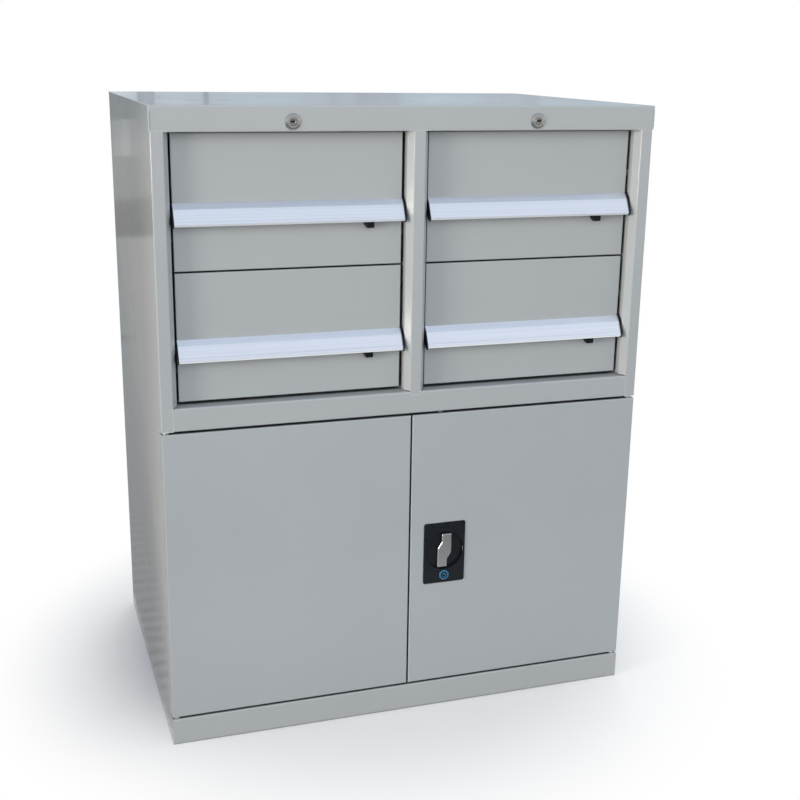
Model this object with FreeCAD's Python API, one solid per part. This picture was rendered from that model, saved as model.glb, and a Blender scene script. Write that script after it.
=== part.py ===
"""Steel tool cabinet: two columns of two drawers over a cupboard with two doors.

Millimetres, +X to the right, +Y to the back, +Z up.
The origin is under the middle of the cabinet, on the floor.
"""
import FreeCAD, Part
import math
import os

from FreeCAD import Vector

# Whole cabinet
width = 900.0
depth = 630.0
height = 1135.0
body_sheet = 1.2
drawer_sheet = 1.0
bend_radius = 1.5
overhang = 1.2
flange_height = 42.5
flange_return = 16.0
side_return = 22.0
foot_return = 25.0

# Levels of the front
plinth_height = 51.0
door_gap = 4.2
rail_height = 40.5
seam = 0.3
rail_ledge = 45.0
rail_lip = 30.0
upper_front_height = 226.1
lower_front_height = 221.2
drawer_foot_gap = 4.9
drawer_row_gap = 2.8
drawer_head_gap = 2.0

# Posts of the front frame, with a splayed edge towards the drawers
stile_face = 21.2
splay = 8.6
splay_depth = 13.5
stile_wall_depth = 70.0
centre_x = 5.0
centre_face = 20.0
splay_foot_gap = 1.5
centre_tab = 6.0

# Drawers
face_recess = 24.0
drawer_side_gap = 4.8
front_depth = 16.0
front_lip = 14.0
front_edge_radius = 1.8
box_foot = 10.0
box_head = 22.0
box_length = 535.0
box_hem = 7.0
drawer_travel = 480.0
divider_slots = 9
divider_slot_width = 3.0
divider_slot_height = 52.0
divider_slot_head = 22.0
divider_margin = 55.0

# Telescopic slides beside each drawer
slide_space = 13.0
slide_height = 45.0
slide_level = 60.0
slide_length = 520.0
slide_setback = 2.0
slide_sheet = 1.2
slide_bend = 0.8
slide_gap = 0.35
slide_flange = 9.4
upright_width = 40.0
upright_places = (230.0, 470.0)
upright_slots = 8
upright_slot_width = 4.0
upright_slot_height = 16.0
upright_margin = 45.0

# Aluminium handle, measured forward from the drawer face and down from the handle's top edge
handle_drop = 113.0
handle_slope = (8.6, 9.6)
handle_nose = (20.2, 33.2)
handle_lip = (18.7, 36.8)
handle_wall = 1.9
handle_back_height = 26.0
handle_groove_level = 29.0
handle_groove = 0.5
handle_edge_radius = 0.4
handle_nose_radius = 1.2
cap_wall = 2.2
cap_margin = 1.6
cap_radius = 1.0

# Thumb latch of each drawer
latch_inset = 53.0
latch_width = 15.6
latch_slant = 2.6
latch_radius = 1.2
latch_top = 34.0
latch_bottom = 48.0
latch_front = 11.0
latch_stand_off = 1.2
latch_neck = 8.0
latch_neck_height = 5.0
latch_bar = 2.0
latch_bar_height = 9.0
latch_travel = 7.0
latch_clearance = 0.4

# Lock of each drawer column
rosette_radius = 14.0
rosette_proud = 2.8
rosette_rim = 0.8
rosette_band = 4.6
rosette_dome_radius = 6.0
barrel_radius = 10.4
barrel_length = 22.0
barrel_nut_radius = 13.5
barrel_nut = 3.0
plug_radius = 6.6
plug_recess = 0.5
plug_clearance = 0.08
plug_chamfer = 0.5
keyway_width = 7.6
keyway_height = 1.5
keyway_depth = 6.0
tail_radius = 4.0
lock_drop = 26.5
cam_level = 27.5
cam_sheet = 2.0
cam_arm = 6.0
cam_pin_radius = 2.0
slot_clearance = 0.4
lock_bar_sheet = 2.0
lock_bar_setback = 6.0
lock_bar_low = 6.0
lock_bar_high = 12.0
lock_bar_end = 9.0
lock_leg_width = 14.0
lock_leg_inset = 3.6
tongue_height = 10.0
tongue_level = 150.0
tongue_hole_clearance = 0.6
guide_width = 20.0
guide_sheet = 1.5
guide_gap = 0.3
guide_places = (70.0, 165.0)

# Doors on pivot pins
door_depth = 19.0
door_reveal = 0.3
door_meeting_gap = 3.0
door_meeting_x = -0.9
door_lip = 14.0
door_edge_radius = 2.0
pivot_inset = 8.5
pivot_depth = 9.0
pivot_radius = 3.0
pivot_clearance = 0.1
pivot_reach = 12.0
pivot_plate = 3.0
pivot_plate_length = 52.0
washer_radius = 6.0
washer_gap = 0.2
carcass_setback = 22.6
carcass_flange = 14.0
stiffener_width = 60.0
stiffener_foot = 15.0
stiffener_sheet = 1.0

# Swing lever lock of the right door
lock_x = 67.7
lever_z = 322.0
plate_width = 82.0
plate_height = 121.0
plate_drop = 4.5
plate_proud = 2.0
plate_corner = 4.5
plate_bevel = 0.8
boss_margin = 4.0
boss_depth = 8.0
dish_radius = 37.5
dish_depth = 6.0
lever_proud = 3.6
lever_thickness = 7.0
lever_height = 66.0
lever_limb = 19.3
lever_short_side = 5.6
lever_shoulder = 17.4
lever_heel = 5.0
lever_corner = 2.2
lever_bevel = 1.4
spindle_radius = 4.5
spindle_square = 6.4
spindle_clearance = 0.1
key_drop = 49.6
key_radius = 9.5
key_proud = 2.6
key_chamfer = 0.8
key_tail_radius = 4.5
key_arm = 14.0
key_arm_width = 7.0
key_arm_sheet = 2.0
rod_radius = 3.5
rod_depth = 13.0
rod_offset = 9.4
rod_hole_clearance = 0.5
rod_tip_gap = 0.5
crank = 11.0
crank_pin_radius = 2.5
crank_slot_clearance = 0.55
crank_sheet = 2.5
crank_gap = 0.5
fork_sheet = 2.5
fork_wall = 4.0
fork_gap = 0.1
case_width = 52.0
case_height = 60.0
case_depth = 15.0
case_wall = 1.2
rod_guide_inset = 60.0
rod_guide_width = 18.0
rod_guide_thickness = 8.0

# Inside the cupboard
shelf_level = 330.0
shelf_sheet = 1.0
shelf_inset = 3.5
shelf_setback = 45.0
shelf_rear_gap = 8.0
shelf_fold = 25.0
shelf_fold_return = 12.0
clip_width = 24.0
clip_height = 22.0
clip_reach = 16.0
clip_sheet = 1.5
clip_inset = 60.0
panel_fold = 15.0
floor_fold = 20.0
floor_start = 20.0
deck_start = 25.0
panel_clearance = 0.1
rear_clearance = 4.0
back_sheet = 1.0
back_start = 3.0
catch_width = 40.0
catch_height = 14.0
catch_depth = 15.0
catch_gap = 0.3
catch_inset = 40.0
keeper_clearance = 1.0

# Planes and edges worked out from the sizes above
front_proud = max(rosette_proud, lever_proud - overhang)
y_flange = -(depth - front_proud) / 2
y_face = y_flange + overhang
y_back = y_flange + depth
y_drawer = y_face + face_recess
y_box = y_drawer + front_depth
half = width / 2 - overhang
inner_half = half - body_sheet
opening_top = height - flange_height
upper_front_low = opening_top - drawer_head_gap - upper_front_height
lower_front_low = upper_front_low - drawer_row_gap - lower_front_height
rail_top = lower_front_low - drawer_foot_gap
rail_low = rail_top - rail_height
door_low = plinth_height + door_gap
door_high = rail_low - door_gap
wall_x = half - stile_face - splay
stile_edge = half - stile_face
centre_left = centre_x - centre_face / 2 - splay
centre_right = centre_x + centre_face / 2 + splay
outer_bend = bend_radius + body_sheet
lock_z = height - lock_drop
plate_z = lever_z - plate_drop
key_z = lever_z - key_drop
pivot_x = half - door_reveal - pivot_inset
pivot_y = y_face + pivot_depth
rod_y = y_face + rod_depth
bar_y = y_drawer + lock_bar_setback
crank_reach = crank / math.sqrt(2)
crank_y = y_face + rod_depth + rod_radius + crank_gap
leg_outer = inner_half - lock_leg_inset
leg_inner = leg_outer - lock_leg_width

# Each column of drawers: its name and the walls on its left and right
columns = {"left": (-wall_x, centre_left), "right": (centre_right, wall_x)}
# Each row: its name and the lowest and highest level of its drawer front
rows = {
    "lower": (lower_front_low, lower_front_low + lower_front_height),
    "upper": (upper_front_low, upper_front_low + upper_front_height),
}


def block(x, y, z):
    """A box between two X, two Y and two Z values."""
    low = Vector(min(x), min(y), min(z))
    size = Vector(max(x), max(y), max(z)) - low
    return Part.makeBox(size.x, size.y, size.z, low)


def bar(centre, radius, axis, span):
    """A round bar about a line along X, Y or Z. The centre gives the other two values."""
    place = {"x": Vector(span[0], *centre), "y": Vector(centre[0], span[0], centre[1])}
    place["z"] = Vector(*centre, span[0])
    way = {"x": Vector(1, 0, 0), "y": Vector(0, 1, 0), "z": Vector(0, 0, 1)}[axis]
    return Part.makeCylinder(radius, span[1] - span[0], place[axis], way)


def in_space(point, plane, level):
    """A point of a flat drawing, put on its plane."""
    a, b = point
    return {"xy": Vector(a, b, level), "yz": Vector(level, a, b), "xz": Vector(a, level, b)}[plane]


def along(plane, length):
    """The way a flat drawing is pulled into a solid."""
    return {"xy": Vector(0, 0, length), "yz": Vector(length, 0, 0), "xz": Vector(0, length, 0)}[plane]


def heading(start, end):
    length = math.hypot(end[0] - start[0], end[1] - start[1])
    return (end[0] - start[0]) / length, (end[1] - start[1]) / length


def corner_cut(before, corner, after, radius):
    """The two ends and the middle of the arc that rounds a corner."""
    into = heading(before, corner)
    out = heading(corner, after)
    turn = math.acos(max(-1.0, min(1.0, into[0] * out[0] + into[1] * out[1])))
    reach = radius * math.tan(turn / 2)
    start = (corner[0] - into[0] * reach, corner[1] - into[1] * reach)
    end = (corner[0] + out[0] * reach, corner[1] + out[1] * reach)
    inward = heading(corner, ((start[0] + end[0]) / 2, (start[1] + end[1]) / 2))
    sag = radius / math.cos(turn / 2) - radius
    return start, (corner[0] + inward[0] * sag, corner[1] + inward[1] * sag), end


def path_edges(points, radii, plane, level, closed):
    """Straight lines and corner arcs through the points, as edges in space."""
    count = len(points)
    arcs = []
    for i, radius in enumerate(radii):
        inside = closed or 0 < i < count - 1
        if inside and radius > 0:
            arcs.append(corner_cut(points[i - 1], points[i], points[(i + 1) % count], radius))
        else:
            arcs.append((points[i], None, points[i]))
    edges = []
    for i in range(count):
        start, middle, end = arcs[i]
        if middle is not None:
            curve = Part.Arc(*[in_space(p, plane, level) for p in (start, middle, end)])
            edges.append(curve.toShape())
        if i + 1 < count or closed:
            begin = in_space(end, plane, level)
            finish = in_space(arcs[(i + 1) % count][0], plane, level)
            if begin.distanceToPoint(finish) > 1e-6:
                edges.append(Part.LineSegment(begin, finish).toShape())
    return edges


def outline(points, plane, span, radii=None):
    """A solid of one flat outline, with rounded corners where radii are given."""
    radii = radii or [0] * len(points)
    edges = path_edges(points, radii, plane, span[0], True)
    face = Part.Face(Part.Wire(edges))
    return face.extrude(along(plane, span[1] - span[0]))


def shifted(points, distance):
    """The same line moved to its right, with its corners still sharp."""
    moved = []
    for i, point in enumerate(points):
        pairs = list(zip(points[max(i - 1, 0):i + 1], points[max(i, 1):i + 2]))
        ways = [heading(start, end) for start, end in pairs]
        rights = [(way[1], -way[0]) for way in ways]
        total = (sum(r[0] for r in rights), sum(r[1] for r in rights))
        meet = 1.0
        if len(rights) == 2:
            meet = 1 + rights[0][0] * rights[1][0] + rights[0][1] * rights[1][1]
        share = distance / meet
        moved.append((point[0] + total[0] * share, point[1] + total[1] * share))
    return moved


def turns_left(points, i):
    """Whether a line bends to the left at one of its points."""
    if i == 0 or i == len(points) - 1:
        return False
    before = heading(points[i - 1], points[i])
    after = heading(points[i], points[i + 1])
    return before[0] * after[1] > before[1] * after[0]


def folded(points, sheet, plane, span, radius=bend_radius):
    """Folded sheet: the points run along its outer skin, which lies on their left."""
    back = shifted(points, sheet)
    skin_radii = []
    back_radii = []
    for i in range(len(points)):
        left = turns_left(points, i)
        skin_radii.append(radius if left else radius + sheet)
        back_radii.append(radius + sheet if left else radius)
    skin_edges = path_edges(points, skin_radii, plane, span[0], False)
    back_edges = path_edges(back, back_radii, plane, span[0], False)
    for first, second in ((points[0], back[0]), (points[-1], back[-1])):
        ends = [in_space(p, plane, span[0]) for p in (first, second)]
        skin_edges.append(Part.LineSegment(*ends).toShape())
    wire = Part.Wire(Part.__sortEdges__(skin_edges + back_edges))
    return Part.Face(wire).extrude(along(plane, span[1] - span[0]))


def turned(section, radii, x, z):
    """A turned piece about a line along Y. The section's points are (y, distance from the line)."""
    points = [(y, z + r) for y, r in section]
    face = Part.Face(Part.Wire(path_edges(points, radii, "yz", x, True)))
    return face.revolve(Vector(x, 0, z), Vector(0, 1, 0), 360)


def folded_pan(x, y, z, sheet, radius, lip):
    """Shallow pan of folded sheet: rounded round its front, with a lip round its open back."""
    solid = block(x, y, z)
    front_edges = [e for e in solid.Edges if abs(e.CenterOfMass.y - y[0]) < 1e-6]
    solid = solid.makeFillet(radius, front_edges)
    back_faces = [f for f in solid.Faces if abs(f.CenterOfMass.y - y[1]) < 1e-6]
    shell = solid.makeThickness(back_faces, -sheet, 1e-4)
    rim = block(x, (y[1] - sheet, y[1]), z)
    window = block((x[0] + lip, x[1] - lip), (y[1] - 2 * sheet, y[1] + sheet), (z[0] + lip, z[1] - lip))
    return joined([shell, rim.cut(window)])


def spread(low, high, count):
    """Places spread evenly between two values."""
    return [low + (high - low) * k / (count - 1) for k in range(count)]


def joined(shapes):
    """One solid from pieces that touch or overlap, without the lines between them."""
    first = shapes[0]
    if len(shapes) > 1:
        first = first.fuse(shapes[1:])
    return first.removeSplitter()


def mirrored(shape):
    """The same piece for the other side of the cabinet."""
    return shape.mirror(Vector(0, 0, 0), Vector(1, 0, 0))


def group(shapes):
    """Separate solids that are kept together under one name."""
    return Part.makeCompound(shapes)


pieces = {}


# Side panels, each one folded sheet with the post of the front frame as its front edge
def side_zone(front, z):
    """A stretch of the left side panel between two levels, with its own front edge."""
    rear = [(-half, y_back), (-half + side_return, y_back)]
    return folded(front + rear, body_sheet, "xy", z)


def left_side():
    post_face = [(-stile_edge, y_face), (-half, y_face)]
    post = [(-wall_x, y_face + stile_wall_depth), (-wall_x, y_face + splay_depth)] + post_face
    flange_x = -half + carcass_flange
    behind_plinth = y_face + body_sheet
    behind_door = y_face + carcass_setback
    behind_flange = y_flange + outer_bend + bend_radius
    plinth_flange = (outer_bend + seam, plinth_height - body_sheet - pivot_plate - seam)
    zones = [
        side_zone([(-half, behind_plinth)], (0, plinth_flange[0])),
        side_zone([(flange_x, behind_plinth), (-half, behind_plinth)], plinth_flange),
        side_zone([(-half, behind_plinth)], (plinth_flange[1], plinth_height)),
        side_zone([(flange_x, behind_door), (-half, behind_door)], (plinth_height, rail_low)),
        side_zone(post_face, (rail_low, rail_top + splay_foot_gap)),
        side_zone(post, (rail_top + splay_foot_gap, opening_top)),
        side_zone(post_face, (opening_top, height - body_sheet - outer_bend)),
        side_zone([(-half, behind_flange)], (height - body_sheet - outer_bend, height - body_sheet)),
    ]
    foot_y = (y_face + foot_return + seam, y_back - outer_bend)
    foot = block((-inner_half, -half + foot_return), foot_y, (0, body_sheet))
    panel = joined(zones + [foot])
    for low, high in rows.values():
        panel = panel.cut(tongue_hole(-wall_x, low))
    return panel


def tongue_hole(wall, front_low):
    """The slot that a tongue of the locking bar passes through."""
    gap = tongue_hole_clearance
    reach = body_sheet + gap
    y = (bar_y - gap, bar_y + lock_bar_sheet + gap)
    middle = front_low + tongue_level
    z = (middle - tongue_height / 2 - gap, middle + tongue_height / 2 + gap)
    return block((wall - reach, wall + reach), y, z)


def latch_hole(wall, front_high):
    """The slot that the tip of a drawer's latch passes through."""
    gap = latch_clearance
    reach = body_sheet + gap
    low, high = latch_bar_levels(front_high)
    y = (latch_bar_y() - gap, latch_bar_y() + latch_bar + gap)
    return block((wall - reach, wall + reach), y, (low - gap, high + gap))


def latch_bar_levels(front_high):
    """The lowest and highest level of the latch bar behind a drawer front."""
    middle = front_high - handle_drop - (latch_top + latch_bottom) / 2
    return middle - latch_bar_height / 2, middle + latch_bar_height / 2


def latch_bar_y():
    return y_drawer + drawer_sheet + 0.3


def right_side():
    panel = mirrored(left_side())
    for low, high in rows.values():
        panel = panel.cut(latch_hole(wall_x, high))
    return panel


pieces["side_panel_left"] = left_side()
pieces["side_panel_right"] = right_side()


# Top panel with its front flange, which laps over the posts and holds the two locks
def column_middle(name):
    return sum(columns[name]) / 2


def top_panel():
    profile = [
        (y_flange + flange_return, opening_top),
        (y_flange, opening_top),
        (y_flange, height),
        (y_back, height),
    ]
    panel = folded(profile, body_sheet, "yz", (-width / 2, width / 2))
    gap = seam
    behind = (y_flange + body_sheet, y_flange + flange_return + gap)
    notch_z = (opening_top - gap, opening_top + outer_bend + gap)
    for x in (
        (-width / 2 - gap, -wall_x + gap),
        (centre_left - gap, centre_right + gap),
        (wall_x - gap, width / 2 + gap),
    ):
        panel = panel.cut(block(x, behind, notch_z))
    rear_x = half - side_return - outer_bend
    rear_z = (height - side_return, height - body_sheet)
    rear = block((-rear_x, rear_x), (y_back - body_sheet, y_back), rear_z)
    panel = joined([panel, rear])
    for name in columns:
        hole = (y_flange - gap, y_flange + body_sheet + gap)
        middle = (column_middle(name), lock_z)
        panel = panel.cut(bar(middle, barrel_radius + plug_clearance, "y", hole))
    return panel


pieces["top_panel"] = top_panel()


# Back panel, set inside the returns of the side panels
def back_panel():
    x = inner_half - outer_bend
    y = y_back - body_sheet
    return block((-x, x), (y - back_sheet, y), (back_start, height - body_sheet))


pieces["back_panel"] = back_panel()
y_inside = y_back - body_sheet - back_sheet


# Front rail between the drawers and the doors
def front_rail():
    profile = [
        (y_face + rail_lip, rail_low),
        (y_face, rail_low),
        (y_face, rail_top),
        (y_face + rail_ledge, rail_top),
    ]
    end = stile_edge - seam
    rail = folded(profile, body_sheet, "yz", (-end, end))
    notch_x = (centre_x - centre_face / 2, centre_x + centre_face / 2)
    rail = rail.cut(block(notch_x, (y_face, y_face + outer_bend), (rail_top - centre_tab, rail_top)))
    keeper = bar((lock_x - rod_offset, rod_y), rod_radius + keeper_clearance, "z",
                 (rail_low - body_sheet, rail_low + 2 * body_sheet))
    return rail.cut(keeper)


pieces["front_rail"] = front_rail()


# Centre partition: one folded sheet, its front edge is the middle post
def centre_partition():
    profile = [
        (centre_right, y_inside),
        (centre_right, y_face + splay_depth),
        (centre_x + centre_face / 2, y_face),
        (centre_x - centre_face / 2, y_face),
        (centre_left, y_face + splay_depth),
        (centre_left, y_inside),
    ]
    above_flange = height - body_sheet - outer_bend
    deck_top = rail_top - body_sheet
    tall = folded(profile, body_sheet, "xy", (deck_top, above_flange))
    over_ledge = (y_face + body_sheet, y_face + rail_ledge + seam)
    tall = tall.cut(block((centre_left, centre_right), over_ledge, (deck_top, rail_top)))
    foot_y = (y_face + body_sheet, y_face + splay_depth + outer_bend)
    foot_z = (rail_top, rail_top + splay_foot_gap)
    tall = tall.cut(block((centre_left, centre_right), foot_y, foot_z))
    face_x = (centre_x - centre_face / 2, centre_x + centre_face / 2)
    face_y = (y_face, y_face + body_sheet)
    for x in ((centre_left, face_x[0]), (face_x[1], centre_right)):
        tall = tall.cut(block(x, face_y, (deck_top, foot_z[1])))
    tab = block(face_x, face_y, (rail_top - centre_tab, rail_top + outer_bend))
    head_y = (y_face + splay_depth, y_inside)
    head_z = (above_flange, height - body_sheet)
    walls = [
        block((centre_left, centre_left + body_sheet), head_y, head_z),
        block((centre_right - body_sheet, centre_right), head_y, head_z),
    ]
    post = joined([tall, tab] + walls)
    for low, high in rows.values():
        post = post.cut(latch_hole(centre_left, high))
    return post


pieces["centre_partition"] = centre_partition()


# Sheets across the cabinet: drawer deck, cupboard floor and plinth
def drawer_deck():
    top = rail_top - body_sheet
    rear = y_inside - rear_clearance
    front = y_face + deck_start
    profile = [(front, top - panel_fold), (front, top), (rear, top), (rear, top - panel_fold)]
    x = inner_half - panel_clearance
    return folded(profile, body_sheet, "yz", (-x, x))


def cupboard_floor():
    top = plinth_height - body_sheet
    x = inner_half - panel_clearance
    profile = [(-x, top - floor_fold), (-x, top), (x, top), (x, top - floor_fold)]
    return folded(profile, body_sheet, "xz", (y_face + floor_start, y_inside - rear_clearance))


def plinth():
    profile = [
        (y_face + foot_return, 0),
        (y_face, 0),
        (y_face, plinth_height),
        (y_face + rail_lip, plinth_height),
    ]
    rail = folded(profile, body_sheet, "yz", (-half, half))
    behind = (y_face + body_sheet, y_face + rail_lip + outer_bend)
    for x in ((-half - seam, -inner_half), (inner_half, half + seam)):
        rail = rail.cut(block(x, behind, (-seam, plinth_height + seam)))
    keeper = bar((lock_x + rod_offset, rod_y), rod_radius + keeper_clearance, "z",
                 (plinth_height - 2 * body_sheet, plinth_height + body_sheet))
    rail = rail.cut(keeper)
    for x in (-pivot_x, pivot_x):
        hole = bar((x, pivot_y), pivot_radius + pivot_clearance, "z",
                   (plinth_height - 2 * body_sheet, plinth_height + body_sheet))
        rail = rail.cut(hole)
    return rail


pieces["drawer_deck"] = drawer_deck()
pieces["cupboard_floor"] = cupboard_floor()
pieces["plinth"] = plinth()


# Uprights that carry the outer slides on the side panels
def slide_uprights():
    posts = []
    z = (rail_top - body_sheet, height - body_sheet)
    reach = inner_half - panel_clearance
    skin = (-wall_x - body_sheet, -wall_x + 2 * body_sheet)
    levels = spread(z[0] + upright_margin, z[1] - upright_margin, upright_slots)
    for place in upright_places:
        rear = y_face + place + upright_width
        front = y_face + place
        profile = [(-reach, rear), (-wall_x, rear), (-wall_x, front), (-reach, front)]
        post = folded(profile, body_sheet, "xy", z)
        middle = (front + rear) / 2
        slot_y = (middle - upright_slot_width / 2, middle + upright_slot_width / 2)
        for level in levels:
            slot_z = (level - upright_slot_height / 2, level + upright_slot_height / 2)
            post = post.cut(block(skin, slot_y, slot_z))
        posts += [post, mirrored(post)]
    return group(posts)


pieces["slide_uprights"] = slide_uprights()


# Telescopic slides: each is three channels, one inside the other, on both sides of a drawer
def channel(wall, side, near, far, tall, level):
    """A channel beside a wall. Side is 1 where the drawer lies to the right of the wall."""
    web = wall + side * near
    edge = wall + side * far
    low = level - tall / 2
    high = level + tall / 2
    line = [(edge, low), (web, low), (web, high), (edge, high)]
    if edge < web:
        line.reverse()
    y = (y_box + slide_setback, y_box + slide_setback + slide_length)
    return folded(line, slide_sheet, "xz", y, slide_bend)


def slide_members(column, row, which):
    """The left and right channel of one drawer: outer, middle or inner."""
    level = rows[row][0] + box_foot + slide_level
    step = 2 * (slide_sheet + slide_gap)
    if which == "outer":
        near, far, tall = 0, slide_flange + slide_sheet, slide_height
    elif which == "middle":
        near = slide_sheet + slide_gap
        far, tall = near + slide_flange, slide_height - step
    else:
        near, far, tall = slide_space, slide_space - slide_flange, slide_height - 2 * step
    left_wall, right_wall = columns[column]
    left = channel(left_wall, 1, near, far, tall, level)
    right = channel(right_wall, -1, near, far, tall, level)
    return [left, right]


outer_slides = []
for column in columns:
    for row in rows:
        outer_slides += slide_members(column, row, "outer")
        name = row + "_" + column
        pieces["slide_middle_" + name] = group(slide_members(column, row, "middle"))
        pieces["slide_inner_" + name] = group(slide_members(column, row, "inner"))
pieces["slide_outer_members"] = group(outer_slides)


# Drawer box: floor, sides, back and front wall of one thin sheet, with a hem round its top
def box_span(column):
    left_wall, right_wall = columns[column]
    return left_wall + slide_space, right_wall - slide_space


def front_span(column):
    left_wall, right_wall = columns[column]
    return left_wall + drawer_side_gap, right_wall - drawer_side_gap


def drawer_box(column, row):
    x = box_span(column)
    low, high = rows[row]
    z = (low + box_foot, high - box_head)
    y = (y_box, y_box + box_length)
    s = drawer_sheet
    solid = block(x, y, z)
    top_faces = [f for f in solid.Faces if abs(f.CenterOfMass.z - z[1]) < 1e-6]
    shell = solid.makeThickness(top_faces, -s, 1e-4)
    hem_y = (y[0] + s / 2, y[1] - s / 2)
    hem_x = x[0] + box_hem
    hem_z = z[1] - box_hem
    left_hem = [(x[0], hem_z), (x[0], z[1]), (hem_x, z[1]), (hem_x, hem_z)]
    right_hem = [(x[0] + x[1] - a, b) for a, b in left_hem][::-1]
    hems = [folded(line, s, "xz", hem_y, 0) for line in (left_hem, right_hem)]
    box = joined([shell] + hems)
    across = (x[0] - s, x[1] + s)
    slot_z = (z[1] - divider_slot_head - divider_slot_height, z[1] - divider_slot_head)
    for place in spread(y[0] + divider_margin, y[1] - divider_margin, divider_slots):
        slot_y = (place - divider_slot_width / 2, place + divider_slot_width / 2)
        box = box.cut(block(across, slot_y, slot_z))
    return box


# Drawer front: a shallow folded pan with lips at its back, open in the middle
def drawer_front(column, row):
    x = front_span(column)
    z = rows[row]
    y = (y_drawer, y_box)
    s = drawer_sheet
    pan = folded_pan(x, y, z, s, front_edge_radius, front_lip)
    gap = latch_clearance
    low, high = latch_bar_levels(z[1])
    tip_y = (latch_bar_y() - gap, latch_bar_y() + latch_bar + gap)
    pan = pan.cut(block((x[1] - 2 * s, x[1] + s), tip_y, (low - gap, high + gap)))
    neck = latch_neck_span(column)
    middle = (low + high) / 2
    slot_z = (middle - latch_neck_height / 2 - gap, middle + latch_neck_height / 2 + gap)
    slot_x = (neck[0] - gap, neck[1] + latch_travel + gap)
    pan = pan.cut(block(slot_x, (y[0] - s, y[0] + 2 * s), slot_z))
    wall = x[0] if column == "left" else x[1]
    return pan.cut(tongue_hole(wall, z[0]))


# Thumb latch: a black paddle under the handle, with a bar that runs to the drawer's right edge
def paddle_span(column):
    right = front_span(column)[1] - latch_inset
    return right - latch_width, right


def latch_neck_span(column):
    middle = sum(paddle_span(column)) / 2 - latch_travel / 2
    return middle - latch_neck / 2, middle + latch_neck / 2


def thumb_latch(column, row):
    front_high = rows[row][1]
    handle_top = front_high - handle_drop
    left, right = paddle_span(column)
    top = handle_top - latch_top
    bottom = handle_top - latch_bottom
    points = [(left, top), (left + latch_slant, bottom), (right, bottom), (right, top)]
    paddle_y = (y_drawer - latch_front, y_drawer - latch_stand_off)
    paddle = outline(points, "xz", paddle_y, [latch_radius] * 4)
    low, high = latch_bar_levels(front_high)
    middle = (low + high) / 2
    neck_z = (middle - latch_neck_height / 2, middle + latch_neck_height / 2)
    neck = block(latch_neck_span(column), (y_drawer - latch_stand_off, latch_bar_y()), neck_z)
    tip = front_span(column)[1] - 0.2
    rod_x = (latch_neck_span(column)[0], tip)
    rod = block(rod_x, (latch_bar_y(), latch_bar_y() + latch_bar), (low, high))
    return joined([paddle, neck, rod])


# Handle: one aluminium extrusion across the drawer, with a finger space behind its nose
def handle_line(top):
    """The outer line of the section, from the lower lip up to the drawer face."""
    corners = (handle_lip, handle_nose, handle_slope, (0, 0))
    return [(y_drawer - p, top - q) for p, q in corners]


def handle(column, row):
    x = front_span(column)
    top = rows[row][1] - handle_drop
    skin = handle_line(top) + [(y_drawer, top - handle_back_height)]
    section = skin + shifted(skin, handle_wall)[::-1]
    edge = handle_edge_radius
    radii = [edge, handle_nose_radius, handle_nose_radius, 0, edge] + [edge] * 5
    share = (handle_groove_level - handle_slope[1]) / (handle_nose[1] - handle_slope[1])
    groove_p = handle_slope[0] + share * (handle_nose[0] - handle_slope[0])
    groove = bar((y_drawer - groove_p, top - handle_groove_level), handle_groove, "x", x)
    return outline(section, "yz", x, radii).cut(groove)


def handle_caps(column, row):
    """Plastic caps on both ends of a handle, a little larger than its section."""
    top = rows[row][1] - handle_drop
    line = handle_line(top)
    beyond = [2 * line[-1][i] - line[-2][i] for i in (0, 1)]
    skin = shifted(line[:-1] + [tuple(beyond)], -cap_margin)
    wall = handle_wall + cap_margin
    foot = top - handle_back_height - cap_margin
    lip = (line[0][0] + wall, line[0][1] - cap_margin)
    section = [(beyond[0], foot), (y_drawer - wall, foot), lip, (skin[0][0], lip[1])] + skin
    behind = block((-width, width), (y_drawer, y_drawer + front_depth), (foot - wall, top + front_depth))
    r = cap_radius
    radii = [0, r, r, 0, 0, r, r, 0]
    left, right = front_span(column)
    ends = ((left - cap_wall, left), (right, right + cap_wall))
    return group([outline(section, "yz", x, radii).cut(behind) for x in ends])


for column in columns:
    for row in rows:
        name = row + "_" + column
        pieces["drawer_box_" + name] = drawer_box(column, row)
        pieces["drawer_front_" + name] = drawer_front(column, row)
        pieces["handle_" + name] = handle(column, row)
        pieces["handle_caps_" + name] = handle_caps(column, row)
        pieces["latch_" + name] = thumb_latch(column, row)


# Locks of the drawer columns: fixed housings in the top flange, and a turning plug with a cam
def lock_housing(middle):
    """Domed rosette and threaded barrel in one, held by a hexagon nut behind the flange."""
    y = y_flange
    face = y - rosette_proud
    bore = plug_radius + plug_clearance
    dome = (y - (rosette_rim + rosette_proud) / 2, rosette_radius - rosette_band / 3)
    section = [
        (y, barrel_radius), (y, rosette_radius), (y - rosette_rim, rosette_radius), dome,
        (face, rosette_radius - rosette_band), (face, bore), (y + barrel_length, bore),
        (y + barrel_length, barrel_radius),
    ]
    body = turned(section, [0, 0, 0, rosette_dome_radius, 0, 0, 0, 0], middle, lock_z)
    hexagon = []
    for k in range(6):
        turn = math.radians(60 * k)
        across = barrel_nut_radius * math.cos(turn)
        hexagon.append((middle + across, lock_z + barrel_nut_radius * math.sin(turn)))
    nut_y = (y + body_sheet, y + body_sheet + barrel_nut)
    nut = outline(hexagon, "xz", nut_y).cut(bar((middle, lock_z), barrel_radius, "y", nut_y))
    return joined([body, nut])


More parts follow.
